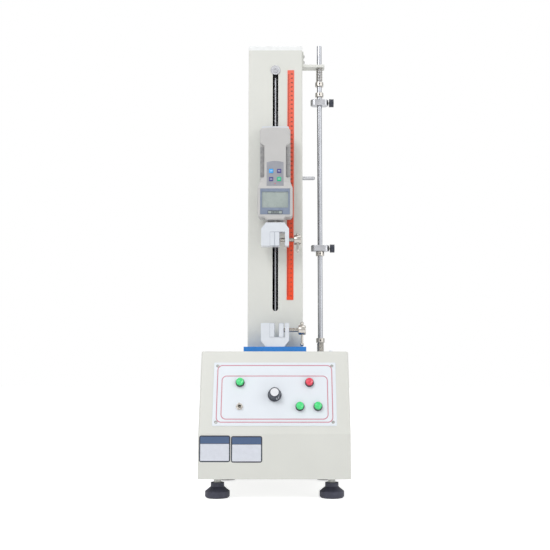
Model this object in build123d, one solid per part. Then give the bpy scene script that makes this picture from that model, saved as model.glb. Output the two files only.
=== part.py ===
from build123d import *
from math import atan2, cos, degrees, pi, radians, sin, tan
import os

# Motorised tensile testing machine: a base with a sloping control panel, a slotted
# column, a carriage with a force gauge and grip, and a sprung limit rod beside it.
# Millimetres, +Z up, front faces -Y, origin at the middle of the footprint on the floor.

# Clearances
run_gap = 0.05          # shaft in its bearing, radial
free_gap = 0.3          # pieces that pass each other
seat_gap = 0.02         # ring pressed in its seat, radial

# Base housing
base_width = 310
base_depth = 380
underside_z = 42        # underside of the housing above the floor
front_height = 90       # upright part of the front
slope_rise = 168        # height of the sloping part
slope_run = 60          # how far the slope leans back
base_wall = 1.5
base_corner = 4         # outer bend radius
bottom_thick = 3
rear_inset = 4          # rear panel sits this far inside the back edge

# Feet
foot_inset = 37         # foot axis inside the base's side
foot_setback = 45       # foot axis behind the front edge, and before the back edge
foot_pad_height = 31
foot_pad_r = 25.5
foot_collar_r = 13.9
foot_rim = 3            # bevel round the sole
foot_flank = 13.5       # top of the upright flank
foot_cone_top = 22.8    # where the cone meets the collar
foot_stud_r = 7.5
foot_boss_height = 12   # welded nut on the bottom plate
foot_boss_wall = 5
foot_stud_rise = 5      # stud end above its welded nut

# Control panel, measured down the slope from its top edge
panel_margin = 28       # base's side beyond the panel
panel_length = 136
panel_top = 25.5
panel_thick = 1.5
panel_corner = 1.5
panel_screw_inset = 7.5
panel_screw_r = 3.4
panel_screw_height = 1.8
upper_row = 70
lower_row = 121.5
knob_row = 97
outer_button_x = 72
up_button_x = 52
down_button_x = 89

# Push-buttons
cap_r = 8.0
cap_height = 11         # cap top above the panel sheet
button_floor = 0.8      # floor under the cap, above the panel sheet
cap_dish = 0.6
button_travel = 3.0
bezel_r = 9.2
bezel_height = 5.5
barrel_r = 7.6
barrel_depth = 24
stem_r = 2.5
stem_length = 9

# Toggle switch
toggle_nut_r = 7.5
toggle_nut_thick = 2.5
toggle_bush_r = 3.6
toggle_bush_height = 5.5
toggle_bore_r = 2.9
toggle_ball_r = 2.3
toggle_pin_r = 0.9
toggle_pin_half = 2.7
toggle_lever_length = 14
toggle_tip_r = 2.2
toggle_neck_r = 1.3
toggle_tilt = 12        # lever leans this far either side of the panel's normal
toggle_body = (13, 20, 16)
toggle_well = 16

# Speed knob
knob_skirt_r = 14.2
knob_skirt_thick = 3
knob_top_r = 10.6
knob_height = 20
knob_facets = 12
knob_insert_r = 8.8
knob_insert_height = 0.8
knob_shaft_r = 3.0
pot_bush_r = 4.8
pot_body_r = 12
pot_body_depth = 11
knob_pointer_angle = 148   # clockwise from the top, at the fast end of its travel

# Column
column_width = 121
column_depth = 110
column_setback = 58     # column front behind the top edge of the slope
column_height = 670
column_wall = 2
column_corner = 2.5
cap_rise = 11.5
cap_wall = 2
cap_lip = 9
plate_width = 133
plate_thick = 10
plate_front_setback = 3  # blue plate's front edge behind the top edge of the slope
plate_margin = 8         # behind the column
slot_width = 12.5
slot_bottom = 389        # above the floor
guide_screw_z = 933.7
guide_screw_r = 10.8
guide_screw_thick = 2.4
guide_screw_step_r = 6.1
guide_screw_step = 1.4
guide_shank_r = 4
ruler_x = 25
ruler_width = 17
ruler_length = 520
ruler_bottom = 413.5
ruler_thick = 1

# Column drive
rod_r = 6.0             # guide rods
rod_inset = 18          # guide rod axes from the column's front and back
screw_r = 8.0
journal_r = 6.0
bearing_plate_thick = 8
bearing_r = 14
top_plate_drop = 10     # top bearing plate below the column's top edge
rod_seat = 4            # how deep the guide rods sit in the bearing plates
motor_r = 38
motor_length = 100
gearbox_side = 80
gearbox_height = 40
pillar_r = 4
pillar_length = 48.5
pillar_pitch = 64
coupling_r = 14
coupling_length = 36
motor_shaft_r = 5
motor_shaft_seat = 8

# Carriage
block_width = 60
block_front_gap = 5     # from the column's inner front face
block_back_gap = 4
block_bottom = 640
block_height = 100
bush_r = 10
nut_r = 13
finger_z = 689.5
finger_r = 4.3
finger_clear = 5.3      # finger's end from the limit rod
side_slot_margin = 8
up_travel = 161
down_travel = 147
neck_width = 11
neck_bottom = 650
neck_height = 80
plate_gap = 12          # gauge bracket's plate in front of the column
bracket_plate_thick = 6
bracket_plate_width = 60
bracket_plate_bottom = 594
bracket_plate_top = 799

# Force gauge
axis_forward = 39       # test axis in front of the column
gauge_top = 786.5
gauge_dome = 2.5
gauge_corner = 7        # round corners at the top
gauge_chin = 8          # round corners under the display
gauge_half = 33.2       # half width of the upper body
head_half = 38.1
head_top = 651
head_bottom = 588
shoulder_height = 13
gauge_neck_half = 17.7
gauge_bottom = 582.4
gauge_wall = 2.5
head_proud = 3
gauge_edge = 3.0
recess_bottom = 668
recess_top = 753
recess_width = 10
recess_depth = 7
recess_slant = 8
key_panel_width = 36.5
key_panel_bottom = 656
key_panel_height = 55
key_panel_thick = 1.0
key_panel_arch = 3
key_size = 9.7
key_pitch_x = 17.2
key_pitch_z = 17.9
key_low_z = 671
key_raise = 0.5
frame_width = 64
frame_bottom = 593.4
frame_height = 56.4
frame_thick = 1.6
window_width = 57
window_bottom = 608
window_height = 35
display_thick = 2.5
display_overlap = 1.5
board_thick = 1.6
board_half = 24
board_rise = 40         # gauge's circuit board above its display
board_bridge = 10
cell_width = 26
cell_depth = 14
cell_bottom = 604
cell_height = 64
cell_low_slot = 16
cell_high_slot = 20
cell_slot = 4
cell_hole_r = 9
shaft_r = 4

# Grips
grip_width = 60
grip_depth = 28
grip_height = 50.4
grip_flat = 39.6
grip_chamfer_height = 13
upper_grip_top = 577
pocket_left = -11.4
pocket_right = 21.4
pocket_depth = 30.4
jaw_thick = 10.4
jaw_screw_height = 36   # screw axis from the grip's flat face
lower_jaw_opening = 9.0
clamp_r = 4.5
clamp_pin_r = 3.2
clamp_pin_length = 5
hub_start = 31.4        # hub face from the moving jaw's back face
hub_length = 16
hub_r = 10.3
t_bar_r = 2.5
t_ball_r = 4.0
t_bar_length = 53
upper_screw_turn = -34  # the upper T-bar points forward and down at rest

# Limit rod
limit_side = 39         # rod axis beside the column
limit_back = 19         # rod axis behind the column front
limit_r = 5.5
limit_top = 997
limit_bottom = 258
limit_travel = 4.0
disc_r = 9
disc_thick = 4
disc_z = 268
collar_r = 9.3
collar_height = 10
collar_bottoms = (901, 876.4, 512.8, 320.5)
collar_hole_r = 1.6
arm_bottom = 943.4
arm_thick = 6
arm_depth = 24
arm_beyond = 11.5       # arm's end beyond the rod axis
flange_thick = 3.2
flange_rise = 30.1      # flange above the arm
bracket_screw_r = 4.5
bracket_screw_head = 2.6
stop_length = 40
stop_depth = 20
stop_height = 14
upper_stop_bottom = 856
lower_stop_bottom = 523
thumb_r = 9
thumb_length = 10
thumb_sides = 24
thumb_bevel = 1
thumb_shank_r = 2.5
thumb_shank = 2
spring_wire_r = 0.8
spring_r = 6.75         # coil's mean radius
spring_pitch = 4.8
spring_sides = 6
spring_steps = 12       # sections in each turn
switch_size = (20, 10, 16)
switch_strip = 3
switch_strip_foot = 12

# Rear and inside of the base
inlet_width = 48
inlet_height = 28
inlet_inset = 60        # inlet's middle inside the base's left side
inlet_z = 90
inlet_depth = 30
inlet_flange = 4
socket_half = (13, 9)
socket_depth = 17
socket_shoulder = 5
vent_count = 8
vent_length = 70
vent_width = 4
vent_pitch = 10
supply_size = (90, 80, 60)
supply_inset = 70       # transformer's middle inside the left side
supply_y = 70
board_size = (110, 90, 2)
board_inset = 75        # board's middle inside the right side
board_y = 70
standoff_height = 10
standoff_r = 4
heat_sink = (45, 30, 24)

# Places worked out from the sizes
half_width = base_width / 2
foot_x = half_width - foot_inset
panel_width = base_width - 2 * panel_margin
inlet_x = -half_width + inlet_inset
supply_x = -half_width + supply_inset
board_x = half_width - board_inset
limit_x = column_width / 2 + limit_side
finger_end_x = limit_x - limit_r - finger_clear
arm_end_x = limit_x + arm_beyond
flange_top = arm_bottom + arm_thick + flange_rise
front_y = -base_depth / 2
back_y = base_depth / 2
fold_z = underside_z + front_height
base_top = fold_z + slope_rise
slope_top_y = front_y + slope_run
column_front = slope_top_y + column_setback
column_back = column_front + column_depth
plate_top = base_top + plate_thick
column_top = plate_top + column_height
slope_angle = degrees(atan2(slope_run, slope_rise))
slope = Plane(
    origin=(0, slope_top_y, base_top),
    x_dir=(1, 0, 0),
    z_dir=(0, -cos(radians(slope_angle)), sin(radians(slope_angle))),
)
axis_y = column_front - axis_forward
front_rod_y = column_front + rod_inset
rear_rod_y = column_back - rod_inset
screw_y = (front_rod_y + rear_rod_y) / 2
limit_y = column_front + limit_back
low_plate_top = plate_top + bearing_plate_thick
high_plate_bottom = column_top - top_plate_drop - bearing_plate_thick
bracket_front = column_front - plate_gap - bracket_plate_thick
gauge_back = bracket_front
gauge_depth = 2 * (gauge_back - axis_y)
body_front = gauge_back - gauge_depth + head_proud
head_front = gauge_back - gauge_depth
jaw_shut_x = pocket_left + jaw_thick + 0.1
floor_top = underside_z + bottom_thick
gearbox_top = base_top - base_wall - pillar_length

button_places = {
    "power_button": (-outer_button_x, upper_row),
    "stop_button": (outer_button_x, upper_row),
    "up_button": (up_button_x, lower_row),
    "down_button": (down_button_x, lower_row),
}
toggle_place = (-outer_button_x, lower_row)
knob_place = (0, knob_row)
foot_places = {
    "foot_front_left": (-foot_x, front_y + foot_setback),
    "foot_front_right": (foot_x, front_y + foot_setback),
    "foot_rear_left": (-foot_x, back_y - foot_setback),
    "foot_rear_right": (foot_x, back_y - foot_setback),
}


# Helpers
def block(x0, x1, y0, y1, z0, z1):
    """A box between two corners."""
    return Pos((x0 + x1) / 2, (y0 + y1) / 2, (z0 + z1) / 2) * Box(x1 - x0, y1 - y0, z1 - z0)


def post(r, x, y, z0, z1):
    """An upright cylinder."""
    return Pos(x, y, (z0 + z1) / 2) * Cylinder(r, z1 - z0)


def bar_x(r, x0, x1, y, z):
    """A cylinder along X."""
    return Pos((x0 + x1) / 2, y, z) * Rot(0, 90, 0) * Cylinder(r, x1 - x0)


def bar_y(r, y0, y1, x, z):
    """A cylinder along Y."""
    return Pos(x, (y0 + y1) / 2, z) * Rot(90, 0, 0) * Cylinder(r, y1 - y0)


def on_slope(place, out=0):
    """A location on the sloping panel, out above the housing's skin."""
    x, down = place
    return slope.location * Pos(x, -down, out)


def slope_post(r, place, out0, out1):
    """A cylinder square to the sloping panel."""
    return on_slope(place, (out0 + out1) / 2) * Cylinder(r, out1 - out0)


def turned(points):
    """A solid of revolution about Z from radius and height points."""
    return revolve(make_face(Plane.XZ * Polyline(*points, close=True)), Axis.Z)


def ball(r):
    """A turned ball in seven bands."""
    angles = [pi * i / 8 for i in range(9)]
    return turned([(r * sin(a), -r * cos(a)) for a in angles])


def side_profile(points, width):
    """A prism across the machine from points in Y and Z."""
    face = make_face(Plane.YZ * Polyline(*points, close=True))
    return extrude(face, width / 2, both=True)


def front_profile(points, y0, y1):
    """A prism from y0 back to y1 from points in X and Z."""
    face = make_face(Plane.XZ.offset(-y1) * Polyline(*points, close=True))
    return extrude(face, y1 - y0, dir=(0, -1, 0))


# Base
def base_housing():
    outer = side_profile(
        [(front_y, underside_z), (front_y, fold_z), (slope_top_y, base_top),
         (back_y, base_top), (back_y, underside_z)], base_width)
    side_edges = outer.edges().filter_by(lambda e: abs(abs(e.center().X) - half_width) < 0.1)
    bent = side_edges.filter_by(lambda e: e.center().Y < back_y - 1 and e.center().Z > underside_z + 1)
    outer = fillet(bent, base_corner)
    lean = base_wall / cos(radians(slope_angle))
    shift = base_wall * tan(radians(slope_angle / 2))
    inner = side_profile(
        [(front_y + base_wall, underside_z - 1),
         (front_y + base_wall, fold_z - shift),
         (slope_top_y + lean - base_wall * slope_run / slope_rise, base_top - base_wall),
         (back_y + 1, base_top - base_wall), (back_y + 1, underside_z - 1)],
        base_width - 2 * base_wall)
    body = outer - inner
    for place in button_places.values():
        body -= slope_post(barrel_r + run_gap, place, -4, 4)
    body -= slope_post(toggle_bush_r + run_gap, toggle_place, -4, 4)
    body -= slope_post(pot_bush_r + run_gap, knob_place, -4, 4)
    body -= post(journal_r + 6, 0, screw_y, base_top - 5, base_top + 5)
    body -= post(limit_r + run_gap, limit_x, limit_y, base_top - 5, base_top + 5)
    return body


def bottom_plate():
    inset = base_wall + 0.1
    body = block(-half_width + inset, half_width - inset, front_y + inset, back_y - rear_inset,
                 underside_z, floor_top)
    for x, y in foot_places.values():
        body += post(foot_stud_r + foot_boss_wall, x, y, floor_top, floor_top + foot_boss_height)
    for x, y in foot_places.values():
        body -= post(foot_stud_r + run_gap, x, y, underside_z - 1, floor_top + foot_boss_height + 1)
    return body


def foot(x, y):
    """Levelling foot: a pad moulded round a threaded stud."""
    r, top = foot_pad_r, foot_pad_height
    stud_top = floor_top + foot_boss_height + foot_stud_rise
    body = turned([(0, 0), (r - foot_rim, 0), (r, foot_rim), (r, foot_flank), (foot_collar_r, foot_cone_top),
                   (foot_collar_r, top), (foot_stud_r, top), (foot_stud_r, stud_top), (0, stud_top)])
    return Pos(x, y, 0) * body


def rear_panel():
    inset = base_wall + 0.1
    face_y = back_y - rear_inset
    body = block(-half_width + inset, half_width - inset, face_y, face_y + base_wall,
                 underside_z, base_top - inset)
    body -= block(inlet_x - inlet_width / 2, inlet_x + inlet_width / 2, face_y - 1,
                  face_y + 3, inlet_z - inlet_height / 2, inlet_z + inlet_height / 2)
    for i in range(vent_count):
        z = base_top - 60 - i * vent_pitch
        vent = Pos(half_width / 2, face_y, z) * Rot(90, 0, 0) * extrude(
            SlotOverall(vent_length, vent_width), 3, both=True)
        body -= vent
    return body


def power_inlet():
    """Recessed mains inlet with three contact blades."""
    face_y = back_y - rear_inset + base_wall
    w, h = inlet_width, inlet_height
    flange = block(inlet_x - w / 2 - inlet_flange, inlet_x + w / 2 + inlet_flange, face_y,
                   face_y + 2, inlet_z - h / 2 - inlet_flange, inlet_z + h / 2 + inlet_flange)
    flange = fillet(flange.edges().filter_by(Axis.Y), 3)
    body = flange + block(inlet_x - w / 2 + 0.2, inlet_x + w / 2 - 0.2, face_y - inlet_depth,
                          face_y, inlet_z - h / 2 + 0.2, inlet_z + h / 2 - 0.2)
    sx, sz = socket_half
    cut = socket_shoulder
    body -= front_profile(
        [(inlet_x - sx, inlet_z - sz), (inlet_x + sx, inlet_z - sz), (inlet_x + sx, inlet_z + sz - cut),
         (inlet_x + sx - cut, inlet_z + sz), (inlet_x - sx + cut, inlet_z + sz),
         (inlet_x - sx, inlet_z + sz - cut)],
        face_y - socket_depth, face_y + 3)
    for dx, dz in ((-7, -2), (0, 3), (7, -2)):
        body += block(inlet_x + dx - 1, inlet_x + dx + 1, face_y - socket_depth - 1, face_y - 2,
                      inlet_z + dz - 2, inlet_z + dz + 2)
    return body


def control_electronics():
    """Transformer and control board, both standing on the bottom plate."""
    w, d, h = supply_size
    core = block(supply_x - w / 2, supply_x + w / 2, supply_y - d / 2, supply_y + d / 2,
                 floor_top, floor_top + h)
    core = chamfer(core.edges().filter_by(Axis.Z), 6)
    w, d, h = board_size
    z = floor_top + standoff_height
    card = block(board_x - w / 2, board_x + w / 2, board_y - d / 2, board_y + d / 2, z, z + h)
    for sx in (-1, 1):
        for sy in (-1, 1):
            card += post(standoff_r, board_x + sx * (w / 2 - 7), board_y + sy * (d / 2 - 7),
                         floor_top, z)
    w, d, h2 = heat_sink
    card += block(board_x - w / 2, board_x + w / 2, board_y - d, board_y, z + h, z + h + h2)
    return Compound(children=[core, card])


# Control panel
def control_plate():
    plate = on_slope((0, panel_top + panel_length / 2)) * extrude(
        RectangleRounded(panel_width, panel_length, panel_corner), panel_thick)
    for place in button_places.values():
        plate -= slope_post(barrel_r + run_gap, place, -1, 4)
    plate -= slope_post(toggle_bush_r + run_gap, toggle_place, -1, 4)
    plate -= slope_post(pot_bush_r + run_gap, knob_place, -1, 4)
    return plate


def panel_screw_places():
    x = panel_width / 2 - panel_screw_inset
    rows = (panel_top + panel_screw_inset, panel_top + panel_length - panel_screw_inset)
    return [(sx * x, row) for sx in (-1, 1) for row in rows]


def dome_head(r, height):
    """Domed screw head with a hexagon socket, on the XY plane."""
    arc_r = (r * r + height * height) / (2 * height)
    head = Cylinder(r, height, align=(Align.CENTER, Align.CENTER, Align.MIN))
    head &= Pos(0, 0, height - arc_r) * Sphere(arc_r)
    return head - Pos(0, 0, height * 0.35) * extrude(RegularPolygon(r * 0.42, 6), height)


def cover_screws():
    """Four panel screws and the two that hold the rod bracket."""
    heads = [on_slope(p, panel_thick) * dome_head(panel_screw_r, panel_screw_height)
             for p in panel_screw_places()]
    face_x = column_width / 2 + flange_thick
    for z in bracket_screw_heights():
        heads.append(Pos(face_x, limit_y, z) * Rot(0, 90, 0)
                     * dome_head(bracket_screw_r, bracket_screw_head))
    return Compound(children=heads)


def button_body():
    """Bezel and barrel of a push-button, on the panel sheet's face."""
    bore = cap_r + free_gap
    return turned([
        (stem_r + free_gap, -barrel_depth + 3), (0, -barrel_depth + 3), (0, -barrel_depth),
        (barrel_r, -barrel_depth), (barrel_r, 0), (bezel_r, 0), (bezel_r, bezel_height - 0.8),
        (bezel_r - 0.8, bezel_height), (bore, bezel_height), (bore, button_floor),
        (stem_r + free_gap, button_floor)])


def control_bodies():
    """Four button bodies and the potentiometer, held in the panel."""
    bodies = [on_slope(p, panel_thick) * button_body() for p in button_places.values()]
    under = -base_wall - panel_thick
    pot = turned([
        (knob_shaft_r + run_gap, under - pot_body_depth + 2), (0, under - pot_body_depth + 2),
        (0, under - pot_body_depth), (pot_body_r, under - pot_body_depth), (pot_body_r, under),
        (pot_bush_r, under), (pot_bush_r, 1.5), (knob_shaft_r + run_gap, 1.5)])
    bodies.append(on_slope(knob_place, panel_thick) * pot)
    return Compound(children=bodies)


def push_button(place):
    """Coloured cap with a dished top and its stem."""
    low = button_floor + free_gap + button_travel
    cap = turned([(0, low), (cap_r, low), (cap_r, cap_height - 1.2), (cap_r - 1.2, cap_height),
                  (cap_r * 0.62, cap_height), (cap_r * 0.5, cap_height - cap_dish),
                  (0, cap_height - cap_dish)])
    stem = Pos(0, 0, low - stem_length / 2) * Cylinder(stem_r, stem_length)
    return on_slope(place, panel_thick) * (cap + stem)


def toggle_switch():
    top = toggle_bush_height
    bush = turned([(toggle_bore_r, -6), (toggle_bush_r, -6), (toggle_bush_r, top),
                   (toggle_bore_r + 0.4, top), (toggle_bore_r, top - 0.6)])
    nut = extrude(RegularPolygon(toggle_nut_r, 6), toggle_nut_thick)
    nut -= Cylinder(toggle_bush_r, 3 * toggle_nut_thick)
    w, d, h = toggle_body
    under = -base_wall - panel_thick
    shell = Pos(0, 0, under - h / 2) * Box(w, d, h)
    shell -= Pos(0, 0, -toggle_well / 2) * Cylinder(toggle_bore_r, toggle_well)
    return on_slope(toggle_place, panel_thick) * (bush + nut + shell)


def toggle_lever():
    """Bat lever on its ball, leaning up the panel."""
    pivot = toggle_bush_height - 3
    length = toggle_lever_length
    stick = turned([(0, 0), (toggle_neck_r, 0), (toggle_neck_r, 4), (toggle_tip_r, length - 2),
                    (toggle_tip_r - 0.7, length - 0.5), (0, length)])
    lever = ball(toggle_ball_r) + stick + bar_x(toggle_pin_r, -toggle_pin_half, toggle_pin_half, 0, 0)
    return on_slope(toggle_place, panel_thick) * Pos(0, 0, pivot) * Rot(-toggle_tilt, 0, 0) * lever


def speed_knob():
    """Fluted knob with a pale insert and a pointer rib, on its shaft."""
    base = 2.0
    skirt = turned([(0, base), (knob_skirt_r, base), (knob_skirt_r, base + knob_skirt_thick - 0.8),
                    (knob_skirt_r - 0.8, base + knob_skirt_thick), (0, base + knob_skirt_thick)])
    low = base + knob_skirt_thick
    tall = knob_height - knob_skirt_thick
    lean = degrees(atan2(knob_skirt_r - 1.2 - knob_top_r, tall))
    grip = Pos(0, 0, low) * extrude(RegularPolygon(knob_skirt_r - 1.2, knob_facets), tall, taper=lean)
    top = low + tall
    insert = Pos(0, 0, top + knob_insert_height / 2) * Cylinder(knob_insert_r, knob_insert_height)
    pointer = Pos(0, knob_skirt_r - 1.6, low + 1) * Box(1.6, 2.6, 2.4)
    shaft = Pos(0, 0, (base - 10) / 2) * Cylinder(knob_shaft_r, base + 10)
    knob = skirt + grip + insert + pointer + shaft
    return on_slope(knob_place, panel_thick) * Rot(0, 0, -knob_pointer_angle) * knob


# Column
def column_plate():
    body = block(-plate_width / 2, plate_width / 2, slope_top_y + plate_front_setback,
                 column_back + plate_margin, base_top, plate_top)
    body = fillet(body.edges().filter_by(Axis.Z), 1.5)
    return body - post(journal_r + 6, 0, screw_y, base_top - 1, plate_top + 1)


def slot_cut(width, z0, z1):
    """A round-ended upright slot in the XZ plane, centred on X."""
    shape = Plane.XZ * Pos(0, (z0 + z1) / 2) * Rot(0, 0, 90) * SlotOverall(z1 - z0, width)
    return extrude(shape, 10, both=True)


def column_housing():
    outer = Rectangle(column_width, column_depth)
    outer = fillet(outer.vertices(), column_corner)
    inner = Rectangle(column_width - 2 * column_wall, column_depth - 2 * column_wall)
    mid_y = column_front + column_depth / 2
    tube = Pos(0, mid_y, plate_top) * extrude(outer - inner, column_height)
    slot_top = guide_screw_z + slot_width / 2
    tube -= Pos(0, column_front, 0) * slot_cut(slot_width, slot_bottom, slot_top)
    reach = finger_r + side_slot_margin
    side = slot_cut(2 * finger_r + 2, finger_z - down_travel - reach, finger_z + up_travel + reach)
    return tube - Pos(column_width / 2, limit_y, 0) * Rot(0, 0, 90) * side


def column_cap():
    mid_y = column_front + column_depth / 2
    lid = Pos(0, mid_y, column_top) * extrude(
        fillet(Rectangle(column_width, column_depth).vertices(), column_corner), cap_rise)
    lid = fillet(lid.faces().sort_by(Axis.Z)[-1].edges(), 3)
    gap = column_wall + 0.1
    lip = Rectangle(column_width - 2 * gap, column_depth - 2 * gap)
    lid += Pos(0, mid_y, column_top - cap_lip) * extrude(lip, cap_lip)
    hollow = Rectangle(column_width - 2 * (gap + cap_wall), column_depth - 2 * (gap + cap_wall))
    return lid - Pos(0, mid_y, column_top - cap_lip) * extrude(hollow, cap_lip + cap_rise - cap_wall)


def ruler():
    strip = block(ruler_x, ruler_x + ruler_width, column_front - ruler_thick, column_front,
                  ruler_bottom, ruler_bottom + ruler_length)
    return fillet(strip.edges().filter_by(Axis.Y), 1.0)


def guide_screw():
    """Stepped flange screw that steadies the front guide rod at the slot's top end."""
    t, s = guide_screw_thick, guide_screw_step
    reach = rod_inset - rod_r - free_gap
    shape = turned([(0, -reach), (guide_shank_r, -reach), (guide_shank_r, 0), (guide_screw_r, 0),
                    (guide_screw_r, t - 0.5), (guide_screw_r - 0.5, t), (guide_screw_step_r, t),
                    (guide_screw_step_r, t + s - 0.4), (guide_screw_step_r - 0.4, t + s), (0, t + s)])
    shape -= Pos(0, 0, t - 0.8) * extrude(RegularPolygon(2.9, 6), s + 2)
    return Pos(0, column_front, guide_screw_z) * Rot(90, 0, 0) * shape


def guide_rods():
    rods = [post(rod_r, 0, y, low_plate_top - rod_seat, high_plate_bottom + rod_seat)
            for y in (front_rod_y, rear_rod_y)]
    return Compound(children=rods)


def bearing_plates():
    """Top and bottom plates inside the column, each with its screw bearing."""
    gap = column_wall + 0.1
    half = column_width / 2 - gap
    pieces = []
    for low, seat_low in ((plate_top, low_plate_top - rod_seat), (high_plate_bottom, high_plate_bottom)):
        high = low + bearing_plate_thick
        plate = block(-half, half, column_front + gap, column_back - gap, low, high)
        plate -= post(bearing_r + seat_gap, 0, screw_y, low - 1, high + 1)
        for y in (front_rod_y, rear_rod_y):
            plate -= post(rod_r + seat_gap, 0, y, seat_low, seat_low + rod_seat)
        ring = post(bearing_r, 0, screw_y, low, high) - post(journal_r + run_gap, 0, screw_y, low - 1, high + 1)
        pieces += [plate, ring]
    return Compound(children=pieces)


def lead_screw():
    low, high = low_plate_top + 0.5, high_plate_bottom - 0.5
    end = gearbox_top + 8 + coupling_length / 2
    body = post(screw_r, 0, screw_y, low, high)
    body = chamfer(body.edges().filter_by(GeomType.CIRCLE), 1)
    return body + post(journal_r, 0, screw_y, end, high + bearing_plate_thick + 1)


def shaft_coupling():
    """Clamp coupling on the gearbox's output shaft."""
    low = gearbox_top + 4
    end = gearbox_top + 8 + coupling_length / 2
    body = post(coupling_r, 0, screw_y, low, low + coupling_length)
    body = chamfer(body.edges().filter_by(GeomType.CIRCLE), 1.2)
    for z in (low + coupling_length * 0.42, low + coupling_length * 0.62):
        body -= block(-coupling_r, 4, screw_y - coupling_r, screw_y + coupling_r, z, z + 1.5)
    body -= post(journal_r + seat_gap, 0, screw_y, end, low + coupling_length + 1)
    return body + post(motor_shaft_r, 0, screw_y, gearbox_top - motor_shaft_seat, low)


def drive_motor():
    """Geared motor hung under the base's top on four pillars."""
    half = gearbox_side / 2
    low = gearbox_top - gearbox_height
    box = block(-half, half, screw_y - half, screw_y + half, low, gearbox_top)
    box = fillet(box.edges().filter_by(Axis.Z), 6)
    box -= post(motor_shaft_r + run_gap, 0, screw_y, gearbox_top - motor_shaft_seat - 1, gearbox_top + 1)
    can = post(motor_r, 0, screw_y, low - motor_length, low)
    can = chamfer(can.edges().sort_by(Axis.Z)[0], 4)
    box += can
    for sx in (-1, 1):
        for sy in (-1, 1):
            box += post(pillar_r, sx * pillar_pitch / 2, screw_y + sy * pillar_pitch / 2,
                        gearbox_top, gearbox_top + pillar_length)
    return box


# Carriage
def carriage_block():
    half = block_width / 2
    body = block(-half, half, column_front + column_wall + block_front_gap,
                 column_back - column_wall - block_back_gap, block_bottom, block_bottom + block_height)
    body = chamfer(body.edges().filter_by(Axis.Z), 3)
    for r, y in ((bush_r, front_rod_y), (nut_r, screw_y), (bush_r, rear_rod_y)):
        body -= post(r + seat_gap, 0, y, block_bottom - 1, block_bottom + block_height + 1)
    return body


def carriage_bushings():
    """Two guide bushings and the lead screw's nut."""
    rings = []
    for r, inner, y in ((bush_r, rod_r, front_rod_y), (nut_r, screw_r, screw_y), (bush_r, rod_r, rear_rod_y)):
        ring = post(r, 0, y, block_bottom, block_bottom + block_height)
        rings.append(ring - post(inner + run_gap, 0, y, block_bottom - 1, block_bottom + block_height + 1))
    return Compound(children=rings)


def trip_finger():
    """Round-nosed pin that meets the stops."""
    length = finger_end_x - block_width / 2
    r = finger_r
    pin = turned([(0, 0), (r, 0), (r, length - 0.8 * r), (0.8 * r, length - 0.25 * r), (0.4 * r, length),
                  (0, length)])
    return Pos(block_width / 2, limit_y, finger_z) * Rot(0, 90, 0) * pin


def gauge_bracket():
    """Neck through the column's slot and the plate that carries the gauge."""
    block_face = column_front + column_wall + block_front_gap
    neck = block(-neck_width / 2, neck_width / 2, bracket_front + bracket_plate_thick, block_face,
                 neck_bottom, neck_bottom + neck_height)
    half = bracket_plate_width / 2
    plate = block(-half, half, bracket_front, bracket_front + bracket_plate_thick,
                  bracket_plate_bottom, bracket_plate_top)
    return fillet(plate.edges().filter_by(Axis.Y), 3) + neck


def gauge_outline(inset=0):
    """Face of the gauge in X and Z: upper body, shoulders, display head and neck."""
    g, h, n = gauge_half - inset, head_half - inset, gauge_neck_half - inset
    low, top = gauge_bottom + inset, gauge_top - inset
    spring_line = top - gauge_dome
    chin = head_bottom + inset
    right = [(n, low), (n + 5, chin), (h, chin), (h, head_top), (g, head_top + shoulder_height), (g, spring_line)]
    left = [(-x, z) for x, z in reversed(right)]
    path = Polyline(*right) + ThreePointArc(right[-1], (0, top), left[0]) + Polyline(*left)
    path += Line(left[-1], right[0])
    face = make_face(Plane.XZ * path)
    for z, r in ((spring_line, gauge_corner), (chin, gauge_chin)):
        corners = face.vertices().filter_by(lambda v: abs(v.Z - z) < 0.01 and abs(v.X) > g - 0.01)
        face = fillet(corners, r - inset)
    return face


def gauge_prism(y0, y1, inset=0):
    """The gauge's outline as a prism from y0 back to y1."""
    return Pos(0, y1, 0) * extrude(gauge_outline(inset), y1 - y0, dir=(0, -1, 0))


def grip_recess(side):
    """Scooped hand hold on one side of the upper body."""
    edge, deep = side * (gauge_half + 1), side * (gauge_half - recess_width)
    points = [(edge, recess_bottom), (deep, recess_bottom + recess_slant), (deep, recess_top - recess_slant),
              (edge, recess_top)]
    return front_profile(points, body_front - 1, body_front + recess_depth)


def gauge_front_shell():
    split = axis_y
    body = gauge_prism(head_front, split)
    step = side_profile(
        [(head_front - 1, gauge_top + 5), (body_front, gauge_top + 5), (body_front, head_top + shoulder_height),
         (head_front, head_top), (head_front - 1, head_top)], 2 * head_half + 10)
    body -= step
    front_edges = body.edges().filter_by(
        lambda e: abs(e.center().Y - body_front) < 0.05 and e.center().Z > head_top + shoulder_height + 1)
    body = fillet(front_edges, gauge_edge)
    head_edges = body.edges().filter_by(
        lambda e: abs(e.center().Y - head_front) < 0.05 and e.center().Z < head_top - 1)
    body = fillet(head_edges, gauge_edge)
    for side in (-1, 1):
        body -= grip_recess(side)
    body -= gauge_prism(body_front + recess_depth + gauge_wall, split + 1, gauge_wall)
    body -= key_panel_prism(body_front - 2, body_front + key_panel_thick, 0.1)
    half = frame_width / 2 + 0.1
    body -= block(-half, half, head_front - 2, head_front + frame_thick,
                  frame_bottom - 0.1, frame_bottom + frame_height + 0.1)
    half = window_width / 2 + display_overlap + 0.2
    body -= block(-half, half, head_front - 2, body_front + recess_depth + 4,
                  window_bottom - display_overlap - 0.2, window_bottom + window_height + display_overlap + 0.2)
    return body - post(shaft_r + 1, 0, axis_y, gauge_bottom - 1, gauge_bottom + 12)


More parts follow.
